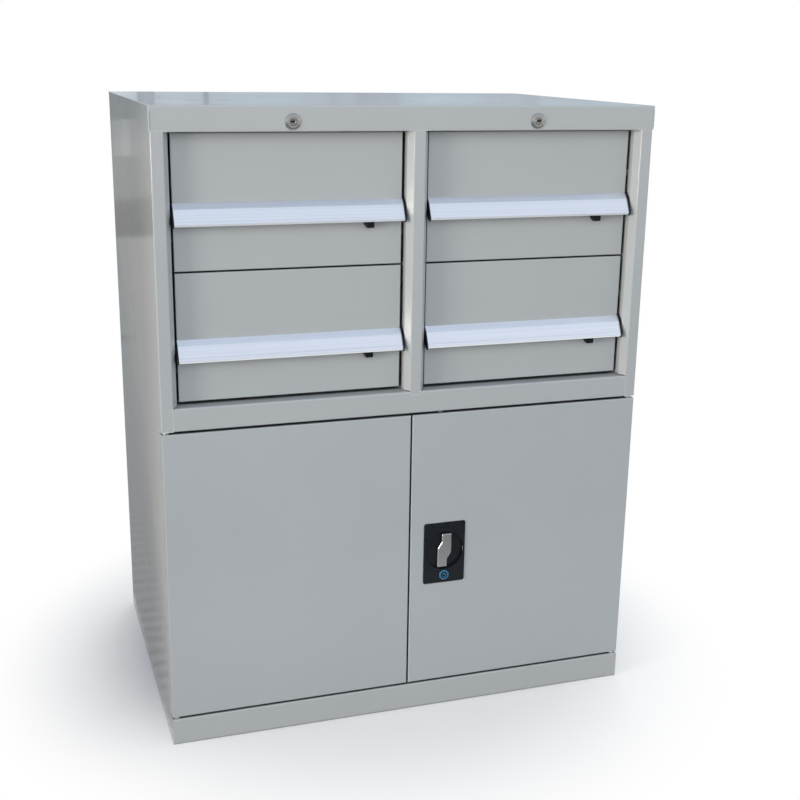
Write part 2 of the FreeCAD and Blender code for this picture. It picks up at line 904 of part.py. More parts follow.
def lock_plug(middle, side):
    """The plug, its tail and the cam. Side is the way the locking bar moves to lock."""
    face = y_flange - rosette_proud + plug_recess
    end = y_flange + barrel_length
    cam_y = (y_flange + cam_level, y_flange + cam_level + cam_sheet)
    section = [
        (face, 0), (face, plug_radius - plug_chamfer), (face + plug_chamfer, plug_radius),
        (end, plug_radius), (end, tail_radius), (cam_y[1], tail_radius), (cam_y[1], 0),
    ]
    plug = turned(section, [0] * len(section), middle, lock_z)
    w = keyway_width / 2
    h = keyway_height / 2
    keyway = block((middle - w, middle + w), (face, face + keyway_depth), (lock_z - h, lock_z + h))
    lean = math.radians(45)
    pin = (middle - side * cam_arm * math.sin(lean), lock_z + cam_arm * math.cos(lean))
    pin_end = bar_y + lock_bar_sheet + slot_clearance
    hub = bar((middle, lock_z), tail_radius + cam_pin_radius, "y", cam_y)
    lobe = bar(pin, cam_pin_radius * 2, "y", cam_y)
    stud = bar(pin, cam_pin_radius, "y", (cam_y[0], pin_end))
    return joined([plug.cut(keyway), hub, lobe, stud])


def lock_bar(name):
    """Flat locking bar: from behind the lock to the outer post, then down past both drawers."""
    side = 1 if name == "left" else -1
    middle = column_middle(name) * side
    low = lock_z - lock_bar_low
    high = lock_z + lock_bar_high
    tip = -(wall_x + body_sheet / 2)
    points = [(middle + lock_bar_end, low), (middle + lock_bar_end, high), (-leg_outer, high)]
    bottom = rows["lower"][0] + tongue_level - tongue_height
    points += [(-leg_outer, bottom), (-leg_inner, bottom)]
    for row in ("lower", "upper"):
        level = rows[row][0] + tongue_level
        edge = (level - tongue_height / 2, level + tongue_height / 2)
        points += [(-leg_inner, edge[0]), (tip, edge[0]), (tip, edge[1]), (-leg_inner, edge[1])]
    points += [(-leg_inner, low)]
    plate = outline(points, "xz", (bar_y, bar_y + lock_bar_sheet))
    pin_x = middle - cam_arm * math.sin(math.radians(45))
    grip = cam_pin_radius + slot_clearance
    slot_z = (lock_z + cam_arm * math.cos(math.radians(45)) - grip, lock_z + cam_arm + grip)
    slot = block((pin_x - grip, pin_x + grip), (bar_y - grip, bar_y + lock_bar_sheet + grip), slot_z)
    plate = plate.cut(slot)
    return plate if name == "left" else mirrored(plate)


def lock_bar_guides():
    """Brackets under the top panel, in which the locking bars slide."""
    brackets = []
    low = lock_z - lock_bar_low - guide_gap
    high = lock_z + lock_bar_high + guide_gap
    rear = bar_y + lock_bar_sheet + guide_gap
    front = bar_y - guide_gap
    s = guide_sheet
    points = [
        (front, low - s), (rear + s, low - s), (rear + s, height - body_sheet), (rear, height - body_sheet),
        (rear, high + s), (front, high + s), (front, high), (rear, high), (rear, low), (front, low),
    ]
    for name in columns:
        side = 1 if name == "left" else -1
        for place in guide_places:
            x = column_middle(name) - side * place
            brackets.append(outline(points, "yz", (x - guide_width / 2, x + guide_width / 2)))
    return group(brackets)


pieces["drawer_lock_housings"] = group([lock_housing(column_middle(name)) for name in columns])
pieces["drawer_lock_plug_left"] = lock_plug(column_middle("left"), 1)
pieces["drawer_lock_plug_right"] = lock_plug(column_middle("right"), -1)
pieces["lock_bar_left"] = lock_bar("left")
pieces["lock_bar_right"] = lock_bar("right")
pieces["lock_bar_guides"] = lock_bar_guides()


# Doors: shallow pans of folded sheet that turn on pins near their outer corners
def door_span(side):
    """The door's edges in X. Side is -1 for the left door and 1 for the right door."""
    outer = side * (half - door_reveal)
    return outer, door_meeting_x + side * door_meeting_gap / 2


def door_shell(side):
    outer, inner = door_span(side)
    x = (min(outer, inner), max(outer, inner))
    y = (y_face, y_face + door_depth)
    z = (door_low, door_high)
    s = body_sheet
    pan = folded_pan(x, y, z, s, door_edge_radius, door_lip)
    pad_x = (side * inner_half, side * (pivot_x - pivot_inset))
    pad_y = (y_face + s, pivot_y + pivot_inset)
    for edge, way in ((z[0] + s, 1), (z[1] - s, -1)):
        pan = joined([pan, block(pad_x, pad_y, (edge, edge + way * pivot_plate))])
    hole = bar((side * pivot_x, pivot_y), pivot_radius + pivot_clearance, "z", (z[0] - s, z[1] + s))
    keep = block(x, y, (z[0] + s + 2 * pivot_plate, z[1] - s - 2 * pivot_plate))
    return pan.cut(hole.cut(keep))


def door_stiffener(side):
    """Hat section welded down the middle of a door, on its inside."""
    outer, inner = door_span(side)
    middle = (outer + inner) / 2
    skin = y_face + body_sheet
    crown = y_face + door_depth - body_sheet
    w = stiffener_width / 2
    foot = stiffener_foot
    profile = [
        (middle + w + foot, skin + stiffener_sheet), (middle + w, skin + stiffener_sheet),
        (middle + w - foot / 3, crown), (middle - w + foot / 3, crown),
        (middle - w, skin + stiffener_sheet), (middle - w - foot, skin + stiffener_sheet),
    ]
    z = (door_low + door_edge_radius, door_high - door_edge_radius)
    return folded(profile[::-1], stiffener_sheet, "xy", z)


def door_right():
    shell = door_shell(1)
    skin = (y_face - body_sheet, y_face + 2 * body_sheet)
    w = plate_width / 2 - boss_margin + seam
    h = plate_height / 2 - boss_margin + seam
    shell = shell.cut(block((lock_x - w, lock_x + w), skin, (plate_z - h, plate_z + h)))
    hole = rod_radius + rod_hole_clearance
    for way, edge in ((-1, door_high), (1, door_low)):
        through = (edge - 2 * body_sheet, edge + 2 * body_sheet)
        shell = shell.cut(bar((lock_x + way * rod_offset, rod_y), hole, "z", through))
    return shell


def hinge_pivots():
    """Four pivots, each a plate, a pin and a spacing washer in one piece."""
    parts = []
    x = (-(inner_half - panel_clearance), -(inner_half - pivot_plate_length))
    y = (y_face + outer_bend + seam, y_face + floor_start - seam)
    low = rail_low + body_sheet
    plate = block(x, y, (low, low + pivot_plate))
    pin = bar((-pivot_x, pivot_y), pivot_radius, "z", (door_high - pivot_reach, low))
    washer = bar((-pivot_x, pivot_y), washer_radius, "z", (door_high + washer_gap, low))
    parts.append(joined([plate, pin, washer]))
    top = plinth_height - body_sheet
    plate = block(x, y, (top - pivot_plate, top))
    pin = bar((-pivot_x, pivot_y), pivot_radius, "z", (top, door_low + pivot_reach))
    washer = bar((-pivot_x, pivot_y), washer_radius, "z", (plinth_height, door_low - washer_gap))
    parts.append(joined([plate, pin, washer]))
    return group(parts + [mirrored(part) for part in parts])


pieces["door_left"] = door_shell(-1)
pieces["door_right"] = door_right()
pieces["door_stiffener_left"] = door_stiffener(-1)
pieces["door_stiffener_right"] = door_stiffener(1)
pieces["hinge_pivots"] = hinge_pivots()


# Lock of the right door: a moulded plate with a round dish, a swing lever and a key cylinder
def lock_plate():
    w = plate_width / 2
    h = plate_height / 2
    corners = [(lock_x + a, plate_z + b) for a, b in ((-w, -h), (w, -h), (w, h), (-w, h))]
    plate = outline(corners, "xz", (y_face - plate_proud, y_face), [plate_corner] * 4)
    front_edges = [e for e in plate.Edges if abs(e.CenterOfMass.y - (y_face - plate_proud)) < 1e-6]
    plate = plate.makeChamfer(plate_bevel, front_edges)
    boss_x = (lock_x - w + boss_margin, lock_x + w - boss_margin)
    boss_z = (plate_z - h + boss_margin, plate_z + h - boss_margin)
    boss = block(boss_x, (y_face, y_face + boss_depth), boss_z)
    body = joined([plate, boss])
    dish_y = (y_face - plate_proud - body_sheet, y_face - plate_proud + dish_depth)
    body = body.cut(bar((lock_x, lever_z), dish_radius, "y", dish_y))
    through = (y_face - 2 * plate_proud, y_face + 2 * boss_depth)
    body = body.cut(bar((lock_x, lever_z), spindle_radius + spindle_clearance, "y", through))
    return body.cut(bar((lock_x, key_z), key_radius + spindle_clearance, "y", through))


def lock_lever():
    """Cranked lever with its spindle, which ends in a square for the crank."""
    h = lever_height / 2
    short = lever_short_side
    long = lever_limb - short
    half_turn = [(-short, h), (-short, lever_shoulder), (-long, lever_heel), (-long, -h)]
    points = half_turn + [(-a, -b) for a, b in half_turn]
    points = [(lock_x + a, lever_z + b) for a, b in points]
    front = y_face - lever_proud
    lever = outline(points, "xz", (front, front + lever_thickness), [lever_corner] * len(points))
    front_edges = [e for e in lever.Edges if abs(e.CenterOfMass.y - front) < 1e-6]
    lever = lever.makeChamfer(lever_bevel, front_edges)
    spindle = bar((lock_x, lever_z), spindle_radius, "y", (front + lever_thickness, crank_y))
    s = spindle_square / 2
    square_y = (crank_y, crank_y + crank_sheet)
    square = block((lock_x - s, lock_x + s), square_y, (lever_z - s, lever_z + s))
    return joined([lever, spindle, square])


def lock_crank():
    """Flat crank on the spindle's square, with a stud for each rod."""
    y = (crank_y, crank_y + crank_sheet)
    studs = [(lock_x + way * crank_reach, lever_z + way * crank_reach) for way in (-1, 1)]
    shapes = [bar((lock_x, lever_z), crank, "y", y)]
    for place in studs:
        shapes.append(bar(place, crank_pin_radius + fork_wall / 2, "y", y))
        shapes.append(bar(place, crank_pin_radius, "y", (rod_y, y[0])))
    s = spindle_square / 2
    square = block((lock_x - s, lock_x + s), y, (lever_z - s, lever_z + s))
    return joined(shapes).cut(square)


def lock_rod(way):
    """A lock rod with its fork. Way is 1 for the upper rod and -1 for the lower one."""
    side = -way
    stud_z = lever_z - way * crank_reach
    grip = crank_pin_radius + crank_slot_clearance
    fork_y = (rod_y + rod_radius - fork_sheet, rod_y + rod_radius)
    outer = lock_x + side * (crank + grip + fork_wall)
    inner = lock_x + side * (crank_reach - crank_pin_radius - fork_gap)
    rim = grip + fork_wall
    fork = block((outer, inner), fork_y, (stud_z - rim, stud_z + rim))
    slot_x = (lock_x + side * (crank + grip), lock_x)
    slot_y = (fork_y[0] - fork_sheet, fork_y[1] + fork_sheet)
    fork = fork.cut(block(slot_x, slot_y, (stud_z - grip, stud_z + grip)))
    tip = rail_low - rod_tip_gap if way > 0 else plinth_height + rod_tip_gap
    start = stud_z + way * grip
    stem = bar((lock_x + side * rod_offset, rod_y), rod_radius, "z", sorted((start, tip)))
    return joined([fork, stem])


def lock_case():
    """Pressed cover over the crank, on the back of the lock plate."""
    w = case_width / 2
    h = case_height / 2
    y = (y_face + boss_depth, y_face + boss_depth + case_depth)
    t = case_wall
    shell = block((lock_x - w, lock_x + w), y, (lever_z - h, lever_z + h))
    inside_z = (lever_z - h + t, lever_z + h - t)
    shell = shell.cut(block((lock_x - w + t, lock_x + w - t), (y[0] - t, y[1] - t), inside_z))
    for side, edge in ((-1, lever_z + h), (1, lever_z - h)):
        hole = rod_radius + rod_hole_clearance
        centre = lock_x + side * rod_offset
        opening_y = (y[0] - t, rod_y + hole)
        opening = block((centre - hole, centre + hole), opening_y, (edge - 2 * t, edge + 2 * t))
        shell = shell.cut(opening)
    return shell


def rod_guides():
    """Guide blocks that keep each rod beside the door's skin."""
    guides = []
    w = rod_guide_width / 2
    y = (y_face + body_sheet, y_face + door_depth - body_sheet)
    places = [(-rod_offset, door_high - rod_guide_inset), (rod_offset, door_low + rod_guide_inset)]
    for offset, level in places:
        z = (level - rod_guide_thickness / 2, level + rod_guide_thickness / 2)
        solid = block((lock_x + offset - w, lock_x + offset + w), y, z)
        hole = bar((lock_x + offset, rod_y), rod_radius + rod_hole_clearance, "z", z)
        guides.append(solid.cut(hole))
    return group(guides)


def key_cylinder():
    """Key cylinder below the lever, with the arm that stops the crank inside the lock."""
    face = y_face - key_proud
    end = y_face + boss_depth
    arm_y = (crank_y, crank_y + key_arm_sheet)
    section = [
        (face, 0), (face, key_radius - key_chamfer), (face + key_chamfer, key_radius),
        (end, key_radius), (end, key_tail_radius), (arm_y[1], key_tail_radius), (arm_y[1], 0),
    ]
    plug = turned(section, [0] * len(section), lock_x, key_z)
    w = key_arm_width / 2
    arm = block((lock_x - key_arm, lock_x), arm_y, (key_z - w, key_z + w))
    return joined([plug, arm])


pieces["door_lock_plate"] = lock_plate()
pieces["door_lever"] = group([lock_lever(), lock_crank()])
pieces["door_lock_rod_upper"] = lock_rod(1)
pieces["door_lock_rod_lower"] = lock_rod(-1)
pieces["door_lock_case"] = lock_case()
pieces["door_lock_rod_guides"] = rod_guides()
pieces["door_key_cylinder"] = key_cylinder()


# Inside the cupboard: one shelf on clips, and magnetic catches for the doors
def shelf():
    front = y_face + shelf_setback
    rear = y_inside - shelf_rear_gap
    low = shelf_level - shelf_fold
    profile = [
        (front + shelf_fold_return, low), (front, low), (front, shelf_level),
        (rear, shelf_level), (rear, low), (rear - shelf_fold_return, low),
    ]
    x = inner_half - shelf_inset
    return folded(profile, shelf_sheet, "yz", (-x, x))


def shelf_clips():
    clips = []
    under = shelf_level - shelf_sheet
    wall = -(inner_half - panel_clearance)
    places = (y_face + shelf_setback + clip_inset, y_inside - shelf_rear_gap - clip_inset)
    for place in places:
        y = (place - clip_width / 2, place + clip_width / 2)
        profile = [(wall + clip_reach, under), (wall, under), (wall, under - clip_height)]
        clip = folded(profile[::-1], clip_sheet, "xz", y, clip_sheet / 2)
        clips += [clip, mirrored(clip)]
    return group(clips)


def door_catches():
    """A magnet in a plastic body behind each door, under the rail."""
    catches = []
    y = y_face + door_depth + catch_gap
    for side in (-1, 1):
        inner = door_span(side)[1]
        x = sorted((inner + side * catch_inset, inner + side * (catch_inset + catch_width)))
        catches.append(block(x, (y, y + catch_depth), (rail_low - catch_height, rail_low)))
    return group(catches)


pieces["shelf"] = shelf()
pieces["shelf_clips"] = shelf_clips()
pieces["door_catches"] = door_catches()


os.makedirs("parts", exist_ok=True)
for node, shape in pieces.items():
    shape.exportStep("parts/" + node + ".step")
print(len(pieces), "pieces")
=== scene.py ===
"""Light grey steel tool cabinet with four drawers over a cupboard, on a white studio floor."""
import math
import random

import bmesh
import bpy
from mathutils import Euler, Matrix, Vector


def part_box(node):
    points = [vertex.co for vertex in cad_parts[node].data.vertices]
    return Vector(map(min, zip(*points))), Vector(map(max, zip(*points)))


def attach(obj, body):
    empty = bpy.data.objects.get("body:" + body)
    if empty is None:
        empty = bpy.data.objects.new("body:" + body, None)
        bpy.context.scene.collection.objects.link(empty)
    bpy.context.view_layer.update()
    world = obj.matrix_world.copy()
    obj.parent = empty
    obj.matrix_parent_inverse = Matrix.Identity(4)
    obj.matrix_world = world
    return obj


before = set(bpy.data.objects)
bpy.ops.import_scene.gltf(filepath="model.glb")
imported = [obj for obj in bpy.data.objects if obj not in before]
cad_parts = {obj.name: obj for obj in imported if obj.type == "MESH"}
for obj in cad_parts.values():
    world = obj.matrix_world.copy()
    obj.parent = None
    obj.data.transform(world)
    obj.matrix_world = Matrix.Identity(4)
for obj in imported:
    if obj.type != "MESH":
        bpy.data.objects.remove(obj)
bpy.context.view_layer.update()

# Camera
# It stands to the left of the cabinet's front, at about chest height, and looks down a little.
# Its place and angles were solved from the straight edges of the cabinet in the photograph.
camera_place = Vector((-0.6966, -2.3031, 1.2192))
camera_heading = math.radians(-18.66)
camera_tilt = math.radians(90 - 15.87)
camera_roll = math.radians(0.90)
camera_data = bpy.data.cameras.new("camera")
camera_data.sensor_width = 36.0
camera_data.lens = 54.93
camera = bpy.data.objects.new("camera", camera_data)
turn = Euler((camera_tilt, 0, camera_heading)).to_matrix() @ Matrix.Rotation(camera_roll, 3, "Z")
camera.matrix_world = Matrix.Translation(camera_place) @ turn.to_4x4()
bpy.context.scene.collection.objects.link(camera)
bpy.context.scene.camera = camera
bpy.context.scene.view_settings.view_transform = "Standard"


# Studio
# A pale floor that turns white away from the cabinet and a sky that is light blue overhead. Broad
# soft lamps stand in front, behind and to the right, and a smaller warm one on the left. Cards
# that the camera doesn't see give the enamel the plain surroundings that it mirrors.
sky_level = 0.68
floor_radius = 6.0
card_lift = 0.004
yard_depth = 6.0
yard_right = -0.46
ground_left = -2.6
wall_height = 1.05


def add(tree, kind, **values):
    """A node of that kind, with plain values on its named inputs."""
    node = tree.nodes.new(kind)
    for name, value in values.items():
        node.inputs[name.replace("_", " ")].default_value = value
    return node


def join(tree, *ends):
    """Links sockets in pairs: from, to, from, to."""
    for source, target in zip(ends[::2], ends[1::2]):
        tree.links.new(source, target)


def maths(tree, operation, *values, clamp=False):
    """A Math node. Its values are numbers or sockets."""
    node = tree.nodes.new("ShaderNodeMath")
    node.operation = operation
    node.use_clamp = clamp
    for socket, value in zip(node.inputs, values):
        if isinstance(value, (int, float)):
            socket.default_value = value
        else:
            tree.links.new(value, socket)
    return node.outputs[0]


def ramp(tree, factor, *stops):
    """A Color Ramp through stops of (place, colour)."""
    node = tree.nodes.new("ShaderNodeValToRGB")
    for i, (place, colour) in enumerate(stops):
        stop = node.color_ramp.elements[i] if i < 2 else node.color_ramp.elements.new(place)
        stop.position = place
        stop.color = (*colour, 1)
    tree.links.new(factor, node.inputs[0])
    return node.outputs[0]


def vector_maths(tree, operation):
    """A Vector Math node."""
    node = tree.nodes.new("ShaderNodeVectorMath")
    node.operation = operation
    return node


def scaled(tree, colour, factor):
    """The colour times a factor that is a socket."""
    scale = vector_maths(tree, "SCALE")
    join(tree, colour, scale.inputs[0], factor, scale.inputs["Scale"])
    return scale.outputs[0]


def mixed(tree, blend="MIX", **values):
    """A Mix node for colours."""
    node = add(tree, "ShaderNodeMix", **values)
    node.data_type = "RGBA"
    node.blend_type = blend
    return node


def noise_at(tree, place, **values):
    """A Noise Texture at that place."""
    node = add(tree, "ShaderNodeTexNoise", **values)
    tree.links.new(place, node.inputs["Vector"])
    return node.outputs["Fac"]


def studio_sky():
    """The world: a level of plain light on the object, a graded sky in its gloss, and white where
    the camera looks past it."""
    world = bpy.data.worlds.new("studio")
    world.use_nodes = True
    bpy.context.scene.world = world
    tree = world.node_tree
    tree.nodes.clear()
    place = add(tree, "ShaderNodeTexCoord")
    split = add(tree, "ShaderNodeSeparateXYZ")
    height = maths(tree, "MULTIPLY_ADD", split.outputs["Z"], 0.5, 0.5)
    sky = ramp(tree, height, (0.0, (0.50, 0.49, 0.47)), (0.46, (0.70, 0.69, 0.67)),
               (0.54, (1.0, 0.99, 0.97)), (0.70, (0.82, 0.87, 0.96)), (1.0, (0.57, 0.65, 0.79)))
    rays = add(tree, "ShaderNodeLightPath")
    shown = maths(tree, "MAXIMUM",
                  rays.outputs["Is Glossy Ray"], rays.outputs["Is Transmission Ray"])
    ambient = add(tree, "ShaderNodeBackground", Strength=sky_level)
    mirrored = add(tree, "ShaderNodeBackground", Strength=1.0)
    white = add(tree, "ShaderNodeBackground", Color=(1, 1, 1, 1), Strength=1.0)
    first = add(tree, "ShaderNodeMixShader")
    second = add(tree, "ShaderNodeMixShader")
    out = add(tree, "ShaderNodeOutputWorld")
    join(tree, place.outputs["Generated"], split.inputs[0], sky, ambient.inputs["Color"],
         sky, mirrored.inputs["Color"], shown, first.inputs[0],
         ambient.outputs[0], first.inputs[1], mirrored.outputs[0], first.inputs[2],
         rays.outputs["Is Camera Ray"], second.inputs[0], first.outputs[0], second.inputs[1],
         white.outputs[0], second.inputs[2], second.outputs[0], out.inputs[0])


def studio_floor():
    """Pale paper that takes the cabinet's shadow and turns white away from it. It throws little
    light back on the cabinet."""
    steps = 48
    mesh = bpy.data.meshes.new("floor")
    rim = [(floor_radius * math.cos(k / steps * math.tau),
            floor_radius * math.sin(k / steps * math.tau), 0) for k in range(steps)]
    mesh.from_pydata(rim, [], [range(steps)])
    floor = bpy.data.objects.new("floor", mesh)
    bpy.context.scene.collection.objects.link(floor)
    material = bpy.data.materials.new("floor paper")
    material.use_nodes = True
    tree = material.node_tree
    tree.nodes.clear()
    place = add(tree, "ShaderNodeTexCoord")
    length = vector_maths(tree, "LENGTH")
    reach = add(tree, "ShaderNodeMapRange", From_Min=0.36, From_Max=0.8)
    reach.interpolation_type = "SMOOTHSTEP"
    rays = add(tree, "ShaderNodeLightPath")
    bounced = mixed(tree)
    bounced.inputs["A"].default_value = (0.92, 0.92, 0.915, 1)
    bounced.inputs["B"].default_value = (0.22, 0.22, 0.215, 1)
    paper = add(tree, "ShaderNodeBsdfDiffuse")
    white = add(tree, "ShaderNodeEmission", Color=(1, 1, 1, 1), Strength=1.0)
    mix = add(tree, "ShaderNodeMixShader")
    out = add(tree, "ShaderNodeOutputMaterial")
    shown = maths(tree, "ADD", rays.outputs["Is Camera Ray"], rays.outputs["Is Glossy Ray"])
    shown = maths(tree, "ADD", shown, rays.outputs["Is Transmission Ray"], clamp=True)
    share = maths(tree, "MULTIPLY", reach.outputs[0], shown)
    join(tree, rays.outputs["Is Diffuse Ray"], bounced.inputs["Factor"],
         bounced.outputs["Result"], paper.inputs["Color"],
         place.outputs["Object"], length.inputs[0], length.outputs["Value"], reach.inputs["Value"],
         share, mix.inputs[0], paper.outputs[0], mix.inputs[1], white.outputs[0], mix.inputs[2],
         mix.outputs[0], out.inputs[0])
    mesh.materials.append(material)


def soft_lamp(name, place, aim, size, power, colour, mirrored):
    """A round lamp. Where it isn't mirrored, gloss shows the plain sky in its place."""
    data = bpy.data.lights.new(name, "AREA")
    data.shape = "DISK"
    data.size = size
    data.energy = power
    data.color = colour
    lamp = bpy.data.objects.new(name, data)
    lamp.location = place
    lamp.rotation_euler = (Vector(aim) - Vector(place)).to_track_quat("-Z", "Y").to_euler()
    lamp.visible_glossy = mirrored
    bpy.context.scene.collection.objects.link(lamp)


def hidden_card(name, corners, faces):
    """A card that the camera doesn't see, and its bare material's node tree."""
    mesh = bpy.data.meshes.new(name)
    mesh.from_pydata(corners, [], faces)
    card = bpy.data.objects.new(name, mesh)
    card.visible_camera = False
    bpy.context.scene.collection.objects.link(card)
    material = bpy.data.materials.new(name)
    material.use_nodes = True
    material.node_tree.nodes.clear()
    mesh.materials.append(material)
    return card, material.node_tree


def matt_card(name, corners, shade):
    """Darkens the light from its side."""
    card, tree = hidden_card(name, corners, [range(4)])
    card.visible_glossy = False
    face = add(tree, "ShaderNodeBsdfDiffuse", Color=(shade, shade, shade, 1))
    join(tree, face.outputs[0], add(tree, "ShaderNodeOutputMaterial").inputs[0])


def gloss_card(name, corners, faces, tone):
    """Shows in the gloss of the enamel and sheds no light. The tone is a colour, or a function
    from the node tree and the place to a colour socket."""
    card, tree = hidden_card(name, corners, faces)
    card.visible_diffuse = False
    card.visible_shadow = False
    face = add(tree, "ShaderNodeEmission")
    if callable(tone):
        place = add(tree, "ShaderNodeTexCoord").outputs["Object"]
        join(tree, tone(tree, place), face.inputs["Color"])
    else:
        face.inputs["Color"].default_value = (*tone, 1)
    join(tree, face.outputs[0], add(tree, "ShaderNodeOutputMaterial").inputs[0])


def yard_tone(tree, place):
    """Pale ground near the cabinet, then grey ground with patches and a dark line across it, and
    a wall with a dark foot."""
    split = add(tree, "ShaderNodeSeparateXYZ")
    join(tree, place, split.inputs[0])
    along, away, up = split.outputs
    patch = noise_at(tree, place, Scale=1.6, Detail=5.0, Roughness=0.6)
    uneven = maths(tree, "MULTIPLY_ADD", patch, 0.06, -0.03)
    rise = maths(tree, "ADD", maths(tree, "MULTIPLY", up, 0.5), uneven)
    wall = ramp(tree, rise,
                (0.0, (0.42, 0.42, 0.41)), (0.02, (0.29, 0.285, 0.275)),
                (0.12, (0.32, 0.31, 0.30)), (0.14, (0.42, 0.43, 0.41)),
                (0.30, (0.44, 0.45, 0.43)), (0.40, (0.32, 0.345, 0.345)))
    reach = maths(tree, "MULTIPLY_ADD", away, 0.1, maths(tree, "MULTIPLY", uneven, 0.3))
    grey = ramp(tree, reach,
                (0.0, (0.36, 0.37, 0.37)), (0.10, (0.37, 0.38, 0.38)), (0.29, (0.37, 0.39, 0.40)),
                (0.30, (0.28, 0.29, 0.30)), (0.31, (0.37, 0.39, 0.40)))
    courses = add(tree, "ShaderNodeTexWave", Scale=6.0, Distortion=2.5, Detail=1.0)
    courses.bands_direction = "Y"
    tree.links.new(place, courses.inputs["Vector"])
    near = maths(tree, "SUBTRACT", 1.0, maths(tree, "MULTIPLY", away, 0.8), clamp=True)
    level = maths(tree, "MULTIPLY", maths(tree, "SUBTRACT", courses.outputs["Fac"], 0.6), near)
    grey = scaled(tree, grey, maths(tree, "MULTIPLY_ADD", level, 0.22, 1.0))
    kerb = maths(tree, "MULTIPLY_ADD", away, -0.0885, -0.48)
    beyond = maths(tree, "MULTIPLY", maths(tree, "SUBTRACT", kerb, along), 60.0, clamp=True)
    ground = mixed(tree)
    ground.inputs["B"].default_value = (0.52, 0.51, 0.49, 1)
    both = mixed(tree)
    at_wall = maths(tree, "GREATER_THAN", away, yard_depth - 0.01)
    join(tree, beyond, ground.inputs["Factor"], grey, ground.inputs["A"],
         at_wall, both.inputs["Factor"], ground.outputs["Result"], both.inputs["A"],
         wall, both.inputs["B"])
    return both.outputs["Result"]


def ground_tone(tree, place):
    """Grey ground with paler and darker patches."""
    patch = noise_at(tree, place, Scale=3.0, Detail=3.0)
    return ramp(tree, patch, (0.3, (0.27, 0.28, 0.30)), (0.7, (0.42, 0.43, 0.45)))


def post_tone(tree, place):
    """A dark post, broken up by the haze in front of it."""
    patch = noise_at(tree, place, Scale=9.0, Detail=4.0)
    return ramp(tree, patch, (0.42, (0.16, 0.17, 0.18)), (0.58, (0.60, 0.66, 0.71)))


def haze_tone(tree, place):
    """Far trees and roofs under a hazy sky, which is brighter towards the left."""
    patch = noise_at(tree, place, Scale=1.1, Detail=6.0, Roughness=0.65)
    hazy = ramp(tree, patch, (0.40, (0.36, 0.38, 0.40)), (0.47, (0.48, 0.55, 0.61)),
                (0.65, (0.59, 0.69, 0.76)))
    split = add(tree, "ShaderNodeSeparateXYZ")
    tree.links.new(place, split.inputs[0])
    clear = ramp(tree, split.outputs["X"], (0.0, (1.45, 1.42, 1.36)), (0.9, (1.0, 1.0, 1.0)))
    brighter = mixed(tree, "MULTIPLY", Factor=1.0)
    join(tree, hazy, brighter.inputs["A"], clear, brighter.inputs["B"])
    return brighter.outputs["Result"]


def upright_card(x0, x1, y0, y1, z0, z1):
    """The corners of a card that stands on a line from (x0, y0) to (x1, y1)."""
    return [(x0, y0, z0), (x1, y1, z0), (x1, y1, z1), (x0, y0, z1)]


studio_sky()
studio_floor()
soft_lamp("lamp over the front", place=(-1.0, -5.2, 2.7), aim=(0, 0, 0.6), size=6.0, power=128,
          colour=(0.985, 0.995, 1.0), mirrored=False)
soft_lamp("lamp on the left", place=(-4.6, -1.9, 1.3), aim=(0, -0.3, 0.6), size=2.0, power=168,
          colour=(1.0, 0.91, 0.78), mirrored=True)
soft_lamp("lamp on the right", place=(3.6, -2.4, 1.8), aim=(0, 0, 0.6), size=3.0, power=24,
          colour=(1.0, 0.97, 0.93), mirrored=False)
soft_lamp("lamp behind", place=(1.6, 5.2, 3.0), aim=(0, 0, 0.5), size=5.0, power=120,
          colour=(0.97, 0.98, 1.0), mirrored=False)
matt_card("card on the left", upright_card(-1.05, -1.05, -0.50, 2.4, 0.0, 1.35), shade=0.50)
yard_front = [(ground_left, -0.9, card_lift), (yard_right + 0.008, -0.9, card_lift)]
yard_foot = [(yard_right, yard_depth, card_lift), (ground_left, yard_depth, card_lift)]
yard_head = [(yard_right, yard_depth, wall_height), (ground_left, yard_depth, wall_height)]
gloss_card("yard behind the left side", yard_front + yard_foot + yard_head,
           [(0, 1, 2, 3), (3, 2, 4, 5)], yard_tone)
gloss_card("ground before the front",
           [(ground_left, -6.0, card_lift), (3.2, -6.0, card_lift),
            (3.2, -1.0, card_lift), (ground_left, -1.0, card_lift)],
           [range(4)], ground_tone)
window_y = yard_depth - 0.1
gloss_card("bright window", upright_card(-1.085, -1.05, window_y, window_y, 0.55, 0.78),
           [range(4)], (1.0, 1.0, 1.0))
haze_y = yard_depth + 0.6
gloss_card("haze behind", upright_card(-0.4, 8.0, haze_y, haze_y, 1.0, 3.2), [range(4)], haze_tone)
for k, (left, right) in enumerate(((0.27, 0.38), (0.70, 0.735))):
    gloss_card("post behind %d" % k, upright_card(left, right, yard_depth, yard_depth, 1.1, 1.9),
               [range(4)], post_tone)


# Carcass
# Folded sheet steel, 1.2 mm thick and 1 mm for the shelf, spot welded and sprayed with light grey
# enamel: side panels, top with its front flange, front rail, centre partition, plinth, back,
# deck, floor and shelf.
def new_group(name, inputs, outputs):
    """A shader node group with named sockets. Inputs are (name, kind, default)."""
    group = bpy.data.node_groups.new(name, "ShaderNodeTree")
    for socket_name, kind, default in inputs:
        socket = group.interface.new_socket(socket_name, in_out="INPUT", socket_type=kind)
        socket.default_value = default
    for socket_name, kind in outputs:
        group.interface.new_socket(socket_name, in_out="OUTPUT", socket_type=kind)
    given = group.nodes.new("NodeGroupInput").outputs
    return group, given, group.nodes.new("NodeGroupOutput").inputs


